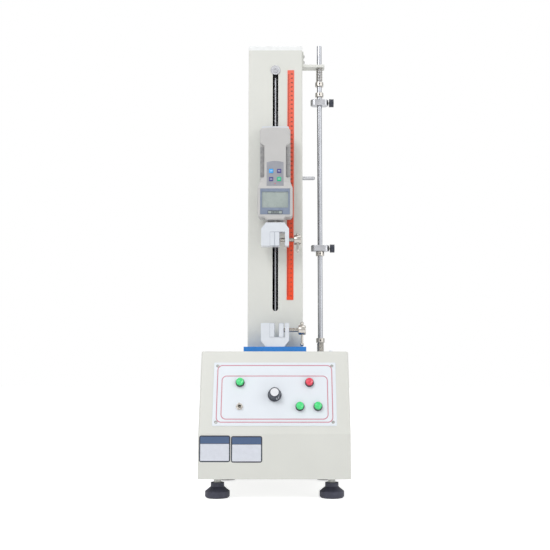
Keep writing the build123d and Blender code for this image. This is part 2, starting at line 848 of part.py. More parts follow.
def gauge_rear_shell():
    body = gauge_prism(axis_y, gauge_back)
    body = fillet(body.faces().sort_by(Axis.Y)[-1].edges(), 2.5)
    body -= gauge_prism(axis_y - 1, gauge_back - gauge_wall, gauge_wall)
    return body - post(shaft_r + 1, 0, axis_y, gauge_bottom - 1, gauge_bottom + 12)


def key_panel_prism(y0, y1, grow=0):
    """Arched outline of the keypad, from y0 back to y1."""
    half, low = key_panel_width / 2 + grow, key_panel_bottom - grow
    shoulder = key_panel_bottom + key_panel_height - key_panel_arch
    path = Polyline((-half, shoulder), (-half, low), (half, low), (half, shoulder))
    path += ThreePointArc((half, shoulder), (0, shoulder + key_panel_arch + grow), (-half, shoulder))
    return Pos(0, y1, 0) * extrude(make_face(Plane.XZ * path), y1 - y0, dir=(0, -1, 0))


def gauge_key_panel():
    """Membrane keypad with four raised keys."""
    sheet = key_panel_prism(body_front - 0.1, body_front + key_panel_thick)
    for sx in (-1, 1):
        for row in (0, 1):
            x, z = sx * key_pitch_x / 2, key_low_z + row * key_pitch_z
            key = block(x - key_size / 2, x + key_size / 2, body_front - 0.1 - key_raise, body_front,
                        z - key_size / 2, z + key_size / 2)
            sheet += fillet(key.edges().filter_by(Axis.Y), 1)
    return sheet


def gauge_window_frame():
    half = frame_width / 2
    ring = block(-half, half, head_front - 0.6, head_front + frame_thick, frame_bottom,
                 frame_bottom + frame_height)
    ring = fillet(ring.edges().filter_by(Axis.Y), 2)
    half = window_width / 2
    return ring - block(-half, half, head_front - 2, head_front + 3, window_bottom,
                        window_bottom + window_height)


def gauge_display():
    """Display glass with its circuit board behind it."""
    half = window_width / 2 + display_overlap
    low, high = window_bottom - display_overlap, window_bottom + window_height + display_overlap
    front = head_front + frame_thick
    glass = block(-half, half, front, front + display_thick, low, high)
    card_front = body_front + recess_depth + gauge_wall + 0.2
    card = block(-board_half, board_half, card_front, card_front + board_thick, low, high + board_rise)
    card += block(-board_bridge, board_bridge, front + display_thick, card_front,
                  low + board_bridge, high - board_bridge)
    return Compound(children=[glass, card])


def gauge_load_cell():
    """S-shaped load cell bolted to the rear shell."""
    half = cell_width / 2
    y0 = axis_y - cell_depth / 2 + 3
    body = block(-half, half, y0, gauge_back - gauge_wall, cell_bottom, cell_bottom + cell_height)
    slots = ((-1, cell_bottom + cell_low_slot), (1, cell_bottom + cell_height - cell_high_slot))
    for side, z in slots:
        x0, x1 = sorted((side * (half + 1), -side * (half - 8)))
        body -= block(x0, x1, y0 - 1, gauge_back, z, z + cell_slot)
    body -= bar_y(cell_hole_r, y0 - 1, gauge_back, 0, cell_bottom + cell_height / 2)
    return body - post(shaft_r + seat_gap, 0, axis_y, cell_bottom - 1, cell_bottom + 8)


def gauge_shaft():
    body = post(shaft_r, 0, axis_y, upper_grip_top, cell_bottom + 8)
    return body + post(shaft_r + 2.2, 0, axis_y, cell_bottom - 5, cell_bottom)


# Grips, made facing down with the flat face at Z 0
def grip_frame():
    half, flat, h = grip_width / 2, grip_flat / 2, grip_height
    points = [(-half, -h), (-half, -grip_chamfer_height), (-flat, 0), (flat, 0),
              (half, -grip_chamfer_height), (half, -h), (pocket_right, -h),
              (pocket_right, -h + pocket_depth), (pocket_left, -h + pocket_depth), (pocket_left, -h)]
    body = front_profile(points, -grip_depth / 2, grip_depth / 2)
    outer = body.edges().filter_by(Axis.Y).filter_by(lambda e: abs(e.center().X) > flat - 1)
    body = fillet(outer, 0.8)
    return body - bar_x(clamp_r + run_gap, pocket_right - 1, half + 1, 0, -jaw_screw_height)


def toothed_jaw(x0, x1, teeth_side):
    """Jaw block with a serrated gripping face."""
    top = -grip_height + pocket_depth - free_gap
    body = block(x0, x1, -grip_depth / 2, grip_depth / 2, -grip_height, top)
    face = x1 if teeth_side > 0 else x0
    pitch, deep = 3.0, 0.5
    count = int((top + grip_height) / pitch)
    for i in range(count):
        z = -grip_height + pitch * (i + 0.5)
        groove = Pos(face, 0, z) * Rot(0, 45, 0) * Box(deep * 2 ** 0.5, grip_depth + 2, deep * 2 ** 0.5)
        body -= groove
    return body


def fixed_jaw():
    return toothed_jaw(pocket_left, pocket_left + jaw_thick, 1)


def moving_jaw(open_by):
    x0 = jaw_shut_x + open_by
    jaw = toothed_jaw(x0, x0 + jaw_thick, -1)
    back = x0 + jaw_thick
    return jaw - bar_x(clamp_pin_r + free_gap, back - clamp_pin_length - free_gap, back + 1, 0, -jaw_screw_height)


def clamp_screw(open_by, turn):
    """Clamping screw with its hub, bored across for the T-bar."""
    back = jaw_shut_x + open_by + jaw_thick
    hub = back + hub_start
    body = bar_x(clamp_pin_r, back - clamp_pin_length, back + 0.6, 0, 0)
    body += bar_x(clamp_r, back + 0.3, hub, 0, 0)
    knob = bar_x(hub_r, hub, hub + hub_length, 0, 0)
    body += chamfer(knob.edges().filter_by(GeomType.CIRCLE), 1.2)
    body -= post(t_bar_r + run_gap, hub + hub_length / 2, 0, -hub_r - 1, hub_r + 1)
    return Pos(0, 0, -jaw_screw_height) * Rot(turn, 0, 0) * body


def t_bar(open_by, turn):
    """Sliding bar with a ball at each end, its upper ball on the hub."""
    x = jaw_shut_x + open_by + jaw_thick + hub_start + hub_length / 2
    top = hub_r + 2 * t_ball_r - 0.2
    body = post(t_bar_r, x, 0, top - t_bar_length + t_ball_r, top - t_ball_r)
    for z in (top - t_ball_r, top - t_bar_length + t_ball_r):
        body += Pos(x, 0, z) * ball(t_ball_r)
    return Pos(0, 0, -jaw_screw_height) * Rot(turn, 0, 0) * body


def at_upper(shape):
    return Pos(0, axis_y, upper_grip_top) * shape


def at_lower(shape):
    return Pos(0, axis_y, plate_top) * Rot(180, 0, 0) * shape


# Limit rod
def limit_rod():
    """The rod and the disc that works the switches."""
    body = post(limit_r, limit_x, limit_y, limit_bottom, limit_top)
    body = chamfer(body.edges().sort_by(Axis.Z)[-1], 1.2)
    low, high = disc_z - disc_thick / 2, disc_z + disc_thick / 2
    disc = post(disc_r, limit_x, limit_y, low, high)
    disc -= post(limit_r + seat_gap, limit_x, limit_y, low - 1, high + 1)
    return Compound(children=[body, disc])


def rod_collars():
    """Set-screw collars on the limit rod."""
    rings = []
    for z in collar_bottoms:
        ring = post(collar_r, limit_x, limit_y, z, z + collar_height)
        ring = chamfer(ring.edges().filter_by(GeomType.CIRCLE), 0.6)
        ring -= post(limit_r + seat_gap, limit_x, limit_y, z - 1, z + collar_height + 1)
        hole = bar_y(collar_hole_r, limit_y - collar_r - 1, limit_y, limit_x, z + collar_height / 2)
        rings.append(ring - hole)
    return Compound(children=rings)


def coil_spring(z0, z1):
    """Open compression spring between two seats, in straight facets."""
    low, high = z0 + spring_wire_r, z1 - spring_wire_r
    turns = round((high - low) / spring_pitch)
    rise = (high - low) / turns
    lean = degrees(atan2(rise, 2 * pi * spring_r))
    wire = Plane.XZ * RegularPolygon(spring_wire_r, spring_sides)
    steps = turns * spring_steps
    sections = []
    for i in range(steps + 1):
        place = Rot(0, 0, 360 * i / spring_steps) * Pos(spring_r, 0, rise * i / spring_steps)
        sections.append(place * Rot(lean, 0, 0) * wire)
    return Pos(limit_x, limit_y, low) * loft(sections, ruled=True)


def rod_bracket():
    """Bent bracket from the column's side that guides the rod's top."""
    side = column_width / 2
    y0, y1 = limit_y - arm_depth / 2, limit_y + arm_depth / 2
    arm = block(side, arm_end_x, y0, y1, arm_bottom, arm_bottom + arm_thick)
    arm = fillet(arm.edges().filter_by(Axis.Z).filter_by(lambda e: e.center().X > side + 1), 4)
    flange = block(side, side + flange_thick, y0, y1, arm_bottom, flange_top)
    return arm + flange - post(limit_r + run_gap, limit_x, limit_y, arm_bottom - 1, flange_top)


def bracket_screw_heights():
    low = arm_bottom + arm_thick
    return (low + (flange_top - low) * 0.3, low + (flange_top - low) * 0.75)


def rod_stop(z):
    """Round-ended stop block that the finger meets."""
    shape = SlotOverall(stop_length, stop_depth)
    body = Pos(limit_x, limit_y, z) * extrude(shape, stop_height)
    body = chamfer(body.faces().sort_by(Axis.Z)[-1].edges() + body.faces().sort_by(Axis.Z)[0].edges(), 1)
    body -= post(limit_r + run_gap, limit_x, limit_y, z - 1, z + stop_height + 1)
    end = limit_x + stop_length / 2
    return body - bar_x(thumb_shank_r + run_gap, limit_x + limit_r - 1, end + 1, limit_y, z + stop_height / 2)


def stop_screw(z):
    """Knurled thumb screw in the stop's outer end."""
    mid = z + stop_height / 2
    end = limit_x + stop_length / 2
    body = bar_x(thumb_shank_r, limit_x + limit_r + free_gap, end + thumb_shank, limit_y, mid)
    head = extrude(RegularPolygon(thumb_r, thumb_sides), thumb_length)
    head = chamfer(head.edges().filter_by(Axis.Z, reverse=True), thumb_bevel)
    return body + Pos(end + thumb_shank, limit_y, mid) * Rot(0, 90, 0) * head


def limit_switches():
    """Two snap switches on a strip under the base's top, either side of the rod's disc."""
    w, d, h = switch_size
    reach = disc_thick / 2 + limit_travel + free_gap
    x0 = limit_x + limit_r + free_gap
    back = limit_y + d / 2
    strip_x = limit_x + disc_r + 1
    under = base_top - base_wall
    strip = block(strip_x, x0 + w, back, back + switch_strip, disc_z - reach - h - 4, under)
    for z in (disc_z - reach - h, disc_z + reach):
        strip += block(x0, x0 + w, limit_y - d / 2, back, z, z + h)
    return strip + block(strip_x, x0 + w, back + switch_strip, back + switch_strip + switch_strip_foot,
                         under - switch_strip, under)


def build():
    """Every node by name."""
    nodes = {
        "base_housing": base_housing(),
        "bottom_plate": bottom_plate(),
        "rear_panel": rear_panel(),
        "power_inlet": power_inlet(),
        "control_electronics": control_electronics(),
        "control_plate": control_plate(),
        "cover_screws": cover_screws(),
        "control_bodies": control_bodies(),
        "toggle_switch": toggle_switch(),
        "toggle_lever": toggle_lever(),
        "speed_knob": speed_knob(),
        "column_plate": column_plate(),
        "column_housing": column_housing(),
        "column_cap": column_cap(),
        "ruler": ruler(),
        "guide_screw": guide_screw(),
        "guide_rods": guide_rods(),
        "bearing_plates": bearing_plates(),
        "lead_screw": lead_screw(),
        "shaft_coupling": shaft_coupling(),
        "drive_motor": drive_motor(),
        "carriage_block": carriage_block(),
        "carriage_bushings": carriage_bushings(),
        "trip_finger": trip_finger(),
        "gauge_bracket": gauge_bracket(),
        "gauge_front_shell": gauge_front_shell(),
        "gauge_rear_shell": gauge_rear_shell(),
        "gauge_key_panel": gauge_key_panel(),
        "gauge_window_frame": gauge_window_frame(),
        "gauge_display": gauge_display(),
        "gauge_load_cell": gauge_load_cell(),
        "gauge_shaft": gauge_shaft(),
        "upper_grip_frame": at_upper(grip_frame()),
        "upper_fixed_jaw": at_upper(fixed_jaw()),
        "upper_moving_jaw": at_upper(moving_jaw(0)),
        "upper_clamp_screw": at_upper(clamp_screw(0, upper_screw_turn)),
        "upper_t_bar": at_upper(t_bar(0, upper_screw_turn)),
        "lower_grip_frame": at_lower(grip_frame()),
        "lower_fixed_jaw": at_lower(fixed_jaw()),
        "lower_moving_jaw": at_lower(moving_jaw(lower_jaw_opening)),
        "lower_clamp_screw": at_lower(clamp_screw(lower_jaw_opening, 180)),
        "lower_t_bar": at_lower(t_bar(lower_jaw_opening, 180)),
        "limit_rod": limit_rod(),
        "rod_collars": rod_collars(),
        "upper_spring": coil_spring(collar_bottoms[0] + collar_height, arm_bottom),
        "lower_spring": coil_spring(base_top, collar_bottoms[3]),
        "rod_bracket": rod_bracket(),
        "upper_stop": rod_stop(upper_stop_bottom),
        "lower_stop": rod_stop(lower_stop_bottom),
        "upper_stop_screw": stop_screw(upper_stop_bottom),
        "lower_stop_screw": stop_screw(lower_stop_bottom),
        "limit_switches": limit_switches(),
    }
    for name, place in button_places.items():
        nodes[name] = push_button(place)
    for name, (x, y) in foot_places.items():
        nodes[name] = foot(x, y)
    return nodes


os.makedirs("parts", exist_ok=True)
for name, shape in build().items():
    export_step(shape, f"parts/{name}.step")
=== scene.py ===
from math import atan2, pi, radians

import bmesh
import bpy
from mathutils import Euler, Matrix, Vector


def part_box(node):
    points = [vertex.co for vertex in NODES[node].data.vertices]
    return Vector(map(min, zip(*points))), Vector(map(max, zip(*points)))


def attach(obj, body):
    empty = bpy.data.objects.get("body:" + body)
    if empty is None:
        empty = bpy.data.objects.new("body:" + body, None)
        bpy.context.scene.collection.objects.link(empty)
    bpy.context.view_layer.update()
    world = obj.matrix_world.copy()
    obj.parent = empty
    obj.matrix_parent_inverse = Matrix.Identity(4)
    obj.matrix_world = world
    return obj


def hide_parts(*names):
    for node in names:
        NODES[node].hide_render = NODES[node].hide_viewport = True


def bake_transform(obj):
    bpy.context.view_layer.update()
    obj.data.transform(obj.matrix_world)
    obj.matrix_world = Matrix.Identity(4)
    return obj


# Dresses a bench tensile tester: base with a sloping control panel, slotted column, force gauge on a
# carriage, two screw grips and a sprung limit rod. Metres, +Z up, front faces -Y.

bl_info = {
    "name": "Tensile Tester",
    "version": (1, 0, 0),
    "blender": (4, 5, 0),
    "location": "View3D > Sidebar > Tester",
    "description": "Finishes and detail pieces for a bench tensile tester",
    "category": "Object",
}

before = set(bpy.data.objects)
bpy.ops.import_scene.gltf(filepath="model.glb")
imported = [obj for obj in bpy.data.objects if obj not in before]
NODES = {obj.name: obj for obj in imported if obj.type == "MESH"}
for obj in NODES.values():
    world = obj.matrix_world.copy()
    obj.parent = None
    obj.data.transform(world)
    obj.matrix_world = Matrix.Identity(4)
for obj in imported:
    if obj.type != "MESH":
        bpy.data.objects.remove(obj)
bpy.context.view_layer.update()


# Helpers for sizes and colours
def mm(value):
    return value / 1000


def linear(code):
    """Linear RGBA from an sRGB hex code."""
    shares = [int(code[i:i + 2], 16) / 255 for i in (1, 3, 5)]
    return [s / 12.92 if s <= 0.04045 else ((s + 0.055) / 1.055) ** 2.4 for s in shares] + [1.0]


def size(name, what, millimetres):
    return bpy.props.FloatProperty(name=name, description=what, default=mm(millimetres), unit="LENGTH")


def colour(name, what, code):
    return bpy.props.FloatVectorProperty(name=name, description=what, default=linear(code), size=4,
                                         subtype="COLOR", min=0, max=1)


class TesterColours(bpy.types.PropertyGroup):
    coat: colour("Coat", "Powder coat on the base and column", "#E3E4DE")
    plate: colour("Plate", "Enamel on the plate under the column", "#2380D4")
    ruler: colour("Ruler", "Print on the ruler strip", "#F24F2B")
    panel: colour("Panel", "Control panel sheet", "#EEF4FB")
    line: colour("Line", "Printed lines on the control panel", "#D08A9B")
    grip: colour("Grip", "Enamel on the grips", "#E4E9F0")
    gauge: colour("Gauge", "Moulded gauge housing", "#CAC9C8")
    go: colour("Go", "Green button caps", "#4BEA8A")
    stop: colour("Stop", "Red button cap", "#F5465F")
    dark: colour("Dark", "Knob and thumb screws", "#2E323F")
    foot: colour("Foot", "Moulded feet", "#393A48")


class TesterSizes(bpy.types.PropertyGroup):
    line_width: size("Line width", "Width of the printed lines on the panel", 2.0)
    ink_thick: size("Ink thickness", "How far print stands off its sheet", 0.06)
    sticker_thick: size("Plate thickness", "Thickness of the two bare plates on the front", 0.2)
    number_height: size("Number height", "Height of the ruler's numbers", 3.4)
    tick_length: size("Tick length", "Length of the ruler's centimetre ticks", 5.5)
    coat_grain: size("Coat grain", "Spacing of the powder coat's orange peel", 1.6)


def colours():
    return bpy.context.scene.tester_colours


def sizes():
    return bpy.context.scene.tester_sizes


# Materials
COLOUR_A, COLOUR_B, COLOUR_OUT = 6, 7, 2   # a Mix node's colour sockets


def add_node(tree, kind, sockets=None, **settings):
    """Adds a node; sockets takes a value or another node's output for each input."""
    made = tree.nodes.new(kind)
    for key, value in settings.items():
        setattr(made, key, value)
    for key, value in (sockets or {}).items():
        if isinstance(value, bpy.types.NodeSocket):
            tree.links.new(value, made.inputs[key])
        else:
            made.inputs[key].default_value = value
    return made


def new_finish(name, base, roughness, metallic=0.0, **shader_values):
    """A material with its uniform values on the shader's own sockets."""
    made = bpy.data.materials.new(name)
    made.use_nodes = True
    shader = made.node_tree.nodes["Principled BSDF"]
    shader.inputs["Base Color"].default_value = base
    shader.inputs["Roughness"].default_value = roughness
    shader.inputs["Metallic"].default_value = metallic
    for key, value in shader_values.items():
        shader.inputs[key.replace("_", " ")].default_value = value
    return made


def place_of(tree, stretch=(1, 1, 1)):
    """Object coordinates, stretched for a pattern that runs one way."""
    spot = add_node(tree, "ShaderNodeTexCoord").outputs["Object"]
    if stretch == (1, 1, 1):
        return spot
    return add_node(tree, "ShaderNodeMapping", {"Vector": spot, "Scale": stretch}).outputs["Vector"]


def grain(made, spacing, depth, rough=None, stretch=(1, 1, 1), detail=2.0):
    """Relief with one bump for each spacing, in metres, and roughness that follows it."""
    tree = made.node_tree
    shader = tree.nodes["Principled BSDF"]
    noise = add_node(tree, "ShaderNodeTexNoise", {"Vector": place_of(tree, stretch), "Scale": 1 / spacing,
                                                  "Detail": detail})
    bump = add_node(tree, "ShaderNodeBump", {"Height": noise.outputs["Fac"], "Distance": depth, "Strength": 1.0})
    tree.links.new(bump.outputs["Normal"], shader.inputs["Normal"])
    if rough:
        level = add_node(tree, "ShaderNodeMapRange", {"Value": noise.outputs["Fac"], "From Min": 0.3,
                                                      "From Max": 0.7, "To Min": rough[0], "To Max": rough[1]})
        tree.links.new(level.outputs["Result"], shader.inputs["Roughness"])
    return made


def tone(made, other, spacing, reach=(0.35, 0.65)):
    """Colour that drifts towards another over patches of the given size."""
    tree = made.node_tree
    shader = tree.nodes["Principled BSDF"]
    noise = add_node(tree, "ShaderNodeTexNoise", {"Vector": place_of(tree), "Scale": 1 / spacing, "Detail": 3.0})
    ramp = add_node(tree, "ShaderNodeMapRange", {"Value": noise.outputs["Fac"], "From Min": reach[0],
                                                 "From Max": reach[1]})
    mix = add_node(tree, "ShaderNodeMix", {"Factor": ramp.outputs["Result"]}, data_type="RGBA")
    mix.inputs[COLOUR_A].default_value = shader.inputs["Base Color"].default_value
    mix.inputs[COLOUR_B].default_value = other
    tree.links.new(mix.outputs[COLOUR_OUT], shader.inputs["Base Color"])
    return made


def shaded(value, share):
    """A colour made darker or lighter by a share."""
    return [min(1, c * share) for c in value[:3]] + [1.0]


def powder_coat():
    # Epoxy-polyester powder, sprayed and baked: a satin skin with a soft orange peel
    made = new_finish("powder_coat", colours().coat, 0.42, Coat_Weight=0.08, Coat_Roughness=0.3)
    tone(made, shaded(colours().coat, 0.975), 0.09)
    return grain(made, sizes().coat_grain, mm(0.012), (0.38, 0.48))


def inner_coat(name, outer, inside):
    """Powder coat outside and painted shade, near black, inside a shell, told apart by place."""
    made = outer()
    made.name = name
    tree = made.node_tree
    shader = tree.nodes["Principled BSDF"]
    spot = add_node(tree, "ShaderNodeSeparateXYZ", {"Vector": place_of(tree)})
    shares = []
    for axis, (low, high) in zip("XYZ", inside):
        above = add_node(tree, "ShaderNodeMath", {0: spot.outputs[axis], 1: low}, operation="GREATER_THAN")
        below = add_node(tree, "ShaderNodeMath", {0: spot.outputs[axis], 1: high}, operation="LESS_THAN")
        shares += [above.outputs[0], below.outputs[0]]
    total = shares[0]
    for share in shares[1:]:
        total = add_node(tree, "ShaderNodeMath", {0: total, 1: share}, operation="MULTIPLY").outputs[0]
    came = shader.inputs["Base Color"].links[0].from_socket
    mix = add_node(tree, "ShaderNodeMix", {"Factor": total}, data_type="RGBA")
    tree.links.new(came, mix.inputs[COLOUR_A])
    # Painted shade: the hollow inside the walls is coloured near black
    mix.inputs[COLOUR_B].default_value = linear("#1D1E20")
    tree.links.new(mix.outputs[COLOUR_OUT], shader.inputs["Base Color"])
    return made


def column_coat():
    # The column's hollow, inside its walls, gets painted shade instead of the coat
    low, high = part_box("column_housing")
    wall = mm(1.9)
    inside = [(low.x + wall, high.x - wall), (low.y + wall, high.y - wall), (low.z - 1, high.z + 1)]
    return inner_coat("column_coat", powder_coat, inside)


def blue_enamel():
    # Sprayed gloss enamel on ground steel plate, with a faint flow texture
    made = new_finish("blue_enamel", colours().plate, 0.34, Coat_Weight=0.1, Coat_Roughness=0.2)
    tone(made, shaded(colours().plate, 0.88), 0.03)
    return grain(made, mm(3), mm(0.01), (0.26, 0.36))


def white_enamel():
    # Stoved white enamel over milled aluminium: smooth
    made = new_finish("white_enamel", colours().grip, 0.34, Coat_Weight=0.2, Coat_Roughness=0.2)
    tone(made, shaded(colours().grip, 0.955), 0.02)
    return grain(made, mm(1.2), mm(0.008), (0.3, 0.42))


def panel_sheet():
    # Screen-printed polycarbonate overlay on aluminium: pale, faintly velvet
    made = new_finish("panel_sheet", colours().panel, 0.36, Specular_IOR_Level=0.45)
    tone(made, shaded(colours().panel, 0.985), 0.05)
    return grain(made, mm(0.5), mm(0.003), (0.32, 0.42))


def ink(name, value, roughness=0.45):
    # Screen-printed ink, slightly uneven in cover
    made = new_finish(name, value, roughness)
    tone(made, shaded(value, 0.95), mm(8))
    return grain(made, mm(0.4), mm(0.002), (roughness - 0.06, roughness + 0.08))


def line_ink():
    return ink("line_ink", colours().line)


def number_ink():
    return ink("number_ink", linear("#4A1F22"), 0.4)


def ruler_print():
    # Printed and varnished steel strip, with painted light: the colour grows paler towards its top
    made = new_finish("ruler_print", colours().ruler, 0.42, Specular_IOR_Level=0.35)
    tree = made.node_tree
    low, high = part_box("ruler")
    # Painted light: the print blends to a paler tone up the strip by height
    height = add_node(tree, "ShaderNodeSeparateXYZ", {"Vector": place_of(tree)}).outputs["Z"]
    share = add_node(tree, "ShaderNodeMapRange", {"Value": height, "From Min": low.z, "From Max": high.z})
    mix = add_node(tree, "ShaderNodeMix", {"Factor": share.outputs["Result"]}, data_type="RGBA")
    mix.inputs[COLOUR_A].default_value = colours().ruler
    mix.inputs[COLOUR_B].default_value = linear("#F3735E")
    tree.links.new(mix.outputs[COLOUR_OUT], tree.nodes["Principled BSDF"].inputs["Base Color"])
    return grain(made, mm(0.8), mm(0.003), (0.36, 0.48))


def metal(name, code, low, high, spacing, depth, stretch=(1, 1, 1), detail=2.0):
    made = new_finish(name, linear(code), (low + high) / 2, metallic=1.0)
    tone(made, shaded(linear(code), 0.86), spacing * 14)
    return grain(made, spacing, depth, (low, high), stretch, detail)


def ground_rod():
    # Centreless-ground steel rod, hard chromed: fine rings round its axis
    return metal("ground_rod", "#ACAEB3", 0.24, 0.34, mm(4), mm(0.0015), (0.3, 0.3, 1), 1.0)


def nickel_plate():
    # Bright nickel over turned brass or steel: smooth, warm, with soft handling marks
    return metal("nickel_plate", "#BBB7B1", 0.16, 0.28, mm(3), mm(0.002))


def turned_steel():
    # Lathe-turned steel, oiled: fine lines that run across X
    return metal("turned_steel", "#B9B8B8", 0.24, 0.4, mm(0.6), mm(0.012), (1, 0.08, 0.08))


def zinc_steel():
    # Zinc-plated stud or screw: cool grey with a mottled bloom
    return metal("zinc_steel", "#A6A7A3", 0.3, 0.46, mm(1.5), mm(0.004))


def mill_aluminium():
    # Milled and clear-anodised aluminium: satin with fine cutter lines
    return metal("mill_aluminium", "#B6B7BB", 0.3, 0.42, mm(1.2), mm(0.002), (0.15, 1, 1))


def cast_bronze():
    # Sintered bronze bushing, open-grained and oily
    return metal("cast_bronze", "#B5884C", 0.32, 0.5, mm(0.4), mm(0.02))


def phenolic():
    # Compression-moulded phenolic, near black with a blue cast and a worn gloss
    made = new_finish("phenolic", colours().dark, 0.34, Coat_Weight=0.15, Coat_Roughness=0.2)
    tone(made, shaded(colours().dark, 1.35), mm(5))
    return grain(made, mm(0.6), mm(0.01), (0.28, 0.46))


def foot_nylon():
    # Glass-filled nylon, moulded: dull charcoal with a fine pitted skin
    made = new_finish("foot_nylon", colours().foot, 0.55)
    tone(made, shaded(colours().foot, 1.4), mm(9))
    return grain(made, mm(0.7), mm(0.03), (0.48, 0.66))


def moulded_abs():
    # ABS from a spark-eroded mould: even grey with a fine matt texture
    made = new_finish("moulded_abs", colours().gauge, 0.5, Specular_IOR_Level=0.4)
    tone(made, shaded(colours().gauge, 0.97), mm(30))
    return grain(made, mm(0.45), mm(0.02), (0.44, 0.58))


def moulded_grip():
    # The same ABS with a coarser texture, painted darker as shade in the recessed hand holds
    made = new_finish("moulded_grip", linear("#A9A8A8"), 0.6)
    tone(made, linear("#959597"), mm(6))
    return grain(made, mm(0.9), mm(0.05), (0.5, 0.68))


def keypad_film():
    # Embossed polyester keypad film, grey and silky
    made = new_finish("keypad_film", linear("#A2A4AC"), 0.4)
    tone(made, linear("#999BA4"), mm(15))
    return grain(made, mm(0.4), mm(0.004), (0.34, 0.46))


def window_frame():
    # Slate-blue printed window behind clear acrylic
    made = new_finish("window_frame", linear("#8592A8"), 0.22, Coat_Weight=0.6, Coat_Roughness=0.06)
    tone(made, linear("#7B889F"), mm(12))
    return grain(made, mm(5), mm(0.003), (0.18, 0.28))


def display_glass():
    # Reflective liquid crystal cell: grey-green field under glass
    made = new_finish("display_glass", linear("#A9B4B0"), 0.3, Coat_Weight=0.7, Coat_Roughness=0.04)
    tone(made, linear("#9EAAA7"), mm(18))
    return grain(made, mm(8), mm(0.003), (0.24, 0.34))


def button_plastic(name, value):
    # Polished polycarbonate cap, dyed through, that glows a little where light enters
    made = new_finish(name, value, 0.22, Coat_Weight=0.4, Coat_Roughness=0.08, Subsurface_Weight=0.15,
                      Subsurface_Scale=mm(2))
    tone(made, shaded(value, 0.9), mm(7))
    return grain(made, mm(3), mm(0.01), (0.18, 0.28))


def green_cap():
    return button_plastic("green_cap", colours().go)


def red_cap():
    return button_plastic("red_cap", colours().stop)


def black_moulding():
    # Black polyamide moulding, satin
    made = new_finish("black_moulding", linear("#23242B"), 0.42)
    tone(made, linear("#30323B"), mm(7))
    return grain(made, mm(0.5), mm(0.012), (0.36, 0.52))


def black_oxide():
    # Blackened steel, dark and slightly oily
    return metal("black_oxide", "#3A3B40", 0.3, 0.5, mm(0.6), mm(0.01))


def brass_blade():
    # Tinned brass contact blade
    return metal("brass_blade", "#C9B070", 0.22, 0.36, mm(0.8), mm(0.006))


def circuit_board():
    # Green solder mask over glass-fibre laminate, with the weave just showing
    made = new_finish("circuit_board", linear("#1E5B38"), 0.4, Coat_Weight=0.4, Coat_Roughness=0.15)
    tone(made, linear("#2C7449"), mm(3))
    return grain(made, mm(0.6), mm(0.01), (0.34, 0.46))


def motor_paint():
    # Black stoved paint on a drawn steel can
    made = new_finish("motor_paint", linear("#26272A"), 0.38)
    tone(made, linear("#34363A"), mm(20))
    return grain(made, mm(1), mm(0.012), (0.32, 0.46))


def coloured_ink(code):
    def made():
        return ink("ink_" + code[1:].lower(), linear(code), 0.38)
    return made


FINISHES = {
    "powder_coat": powder_coat, "column_coat": column_coat, "blue_enamel": blue_enamel,
    "white_enamel": white_enamel, "panel_sheet": panel_sheet, "line_ink": line_ink,
    "number_ink": number_ink, "ruler_print": ruler_print, "ground_rod": ground_rod,
    "nickel_plate": nickel_plate, "turned_steel": turned_steel, "zinc_steel": zinc_steel,
    "mill_aluminium": mill_aluminium, "cast_bronze": cast_bronze, "phenolic": phenolic,
    "foot_nylon": foot_nylon, "moulded_abs": moulded_abs, "moulded_grip": moulded_grip,
    "keypad_film": keypad_film, "window_frame": window_frame, "display_glass": display_glass,
    "green_cap": green_cap, "red_cap": red_cap, "black_moulding": black_moulding,
    "black_oxide": black_oxide, "brass_blade": brass_blade, "circuit_board": circuit_board,
    "motor_paint": motor_paint, "key_blue": coloured_ink("#43ACF6"), "key_violet": coloured_ink("#54508A"),
    "key_green": coloured_ink("#32BE8C"), "plate_dark": coloured_ink("#2C3040"),
    "plate_header": coloured_ink("#4B6388"), "plate_field": coloured_ink("#E2E6F0"),
    # Painted shade for the broken edges of the jaws
    "seam_ink": coloured_ink("#AEB5C0"),
    "cap_enamel": coloured_ink("#F7F9F9"), "white_insert": coloured_ink("#F1F2F6"),
}
finishes_made = {}


def finish(name):
    """The material of that name, made the first time it is asked for."""
    if name not in finishes_made:
        finishes_made[name] = FINISHES[name]()
    return finishes_made[name]


def dress(name, *nodes):
    """Gives CAD nodes a finish in their own material slots."""
    for node in nodes:
        target = NODES[node]
        if not target.material_slots:
            target.data.materials.append(finish(name))
        for place in target.material_slots:
            place.material = finish(name)


# Modelling helpers, all in millimetres
def start_clean():
    """Object mode with nothing selected, because operators act on all that is selected."""
    if bpy.context.object and bpy.context.object.mode != "OBJECT":
        bpy.ops.object.mode_set(mode="OBJECT")
    bpy.ops.object.select_all(action="DESELECT")


def edit(thing):
    start_clean()
    thing.select_set(True)
    bpy.context.view_layer.objects.active = thing
    bpy.ops.object.mode_set(mode="EDIT")
    bpy.ops.mesh.select_mode(type="VERT")
    bpy.ops.mesh.select_all(action="SELECT")


def select_where(thing, kind, test):
    """Selects the faces, edges or vertices of the mesh in edit mode that pass a test."""
    bpy.ops.mesh.select_mode(type={"faces": "FACE", "edges": "EDGE", "verts": "VERT"}[kind])
    bpy.ops.mesh.select_all(action="DESELECT")
    mesh = bmesh.from_edit_mesh(thing.data)
    for part in getattr(mesh, kind):
        part.select_set(bool(test(part)))
    mesh.select_flush_mode()
    bmesh.update_edit_mesh(thing.data)


def finish_piece(thing, name, material, matrix=None, smooth=35):
    """Names a piece, gives it its finish and puts its place in its mesh."""
    start_clean()
    thing.select_set(True)
    bpy.context.view_layer.objects.active = thing
    thing.name = name
    thing.data.name = name
    if not thing.data.materials:
        thing.data.materials.append(finish(material))
    if matrix is not None:
        thing.matrix_world = matrix
    bpy.ops.object.transform_apply(location=True, rotation=True, scale=True)
    if smooth:
        bpy.ops.object.shade_smooth_by_angle(angle=radians(smooth))
    return thing


def apply_all(thing):
    start_clean()
    thing.select_set(True)
    bpy.context.view_layer.objects.active = thing
    for modifier in list(thing.modifiers):
        bpy.ops.object.modifier_apply(modifier=modifier.name)


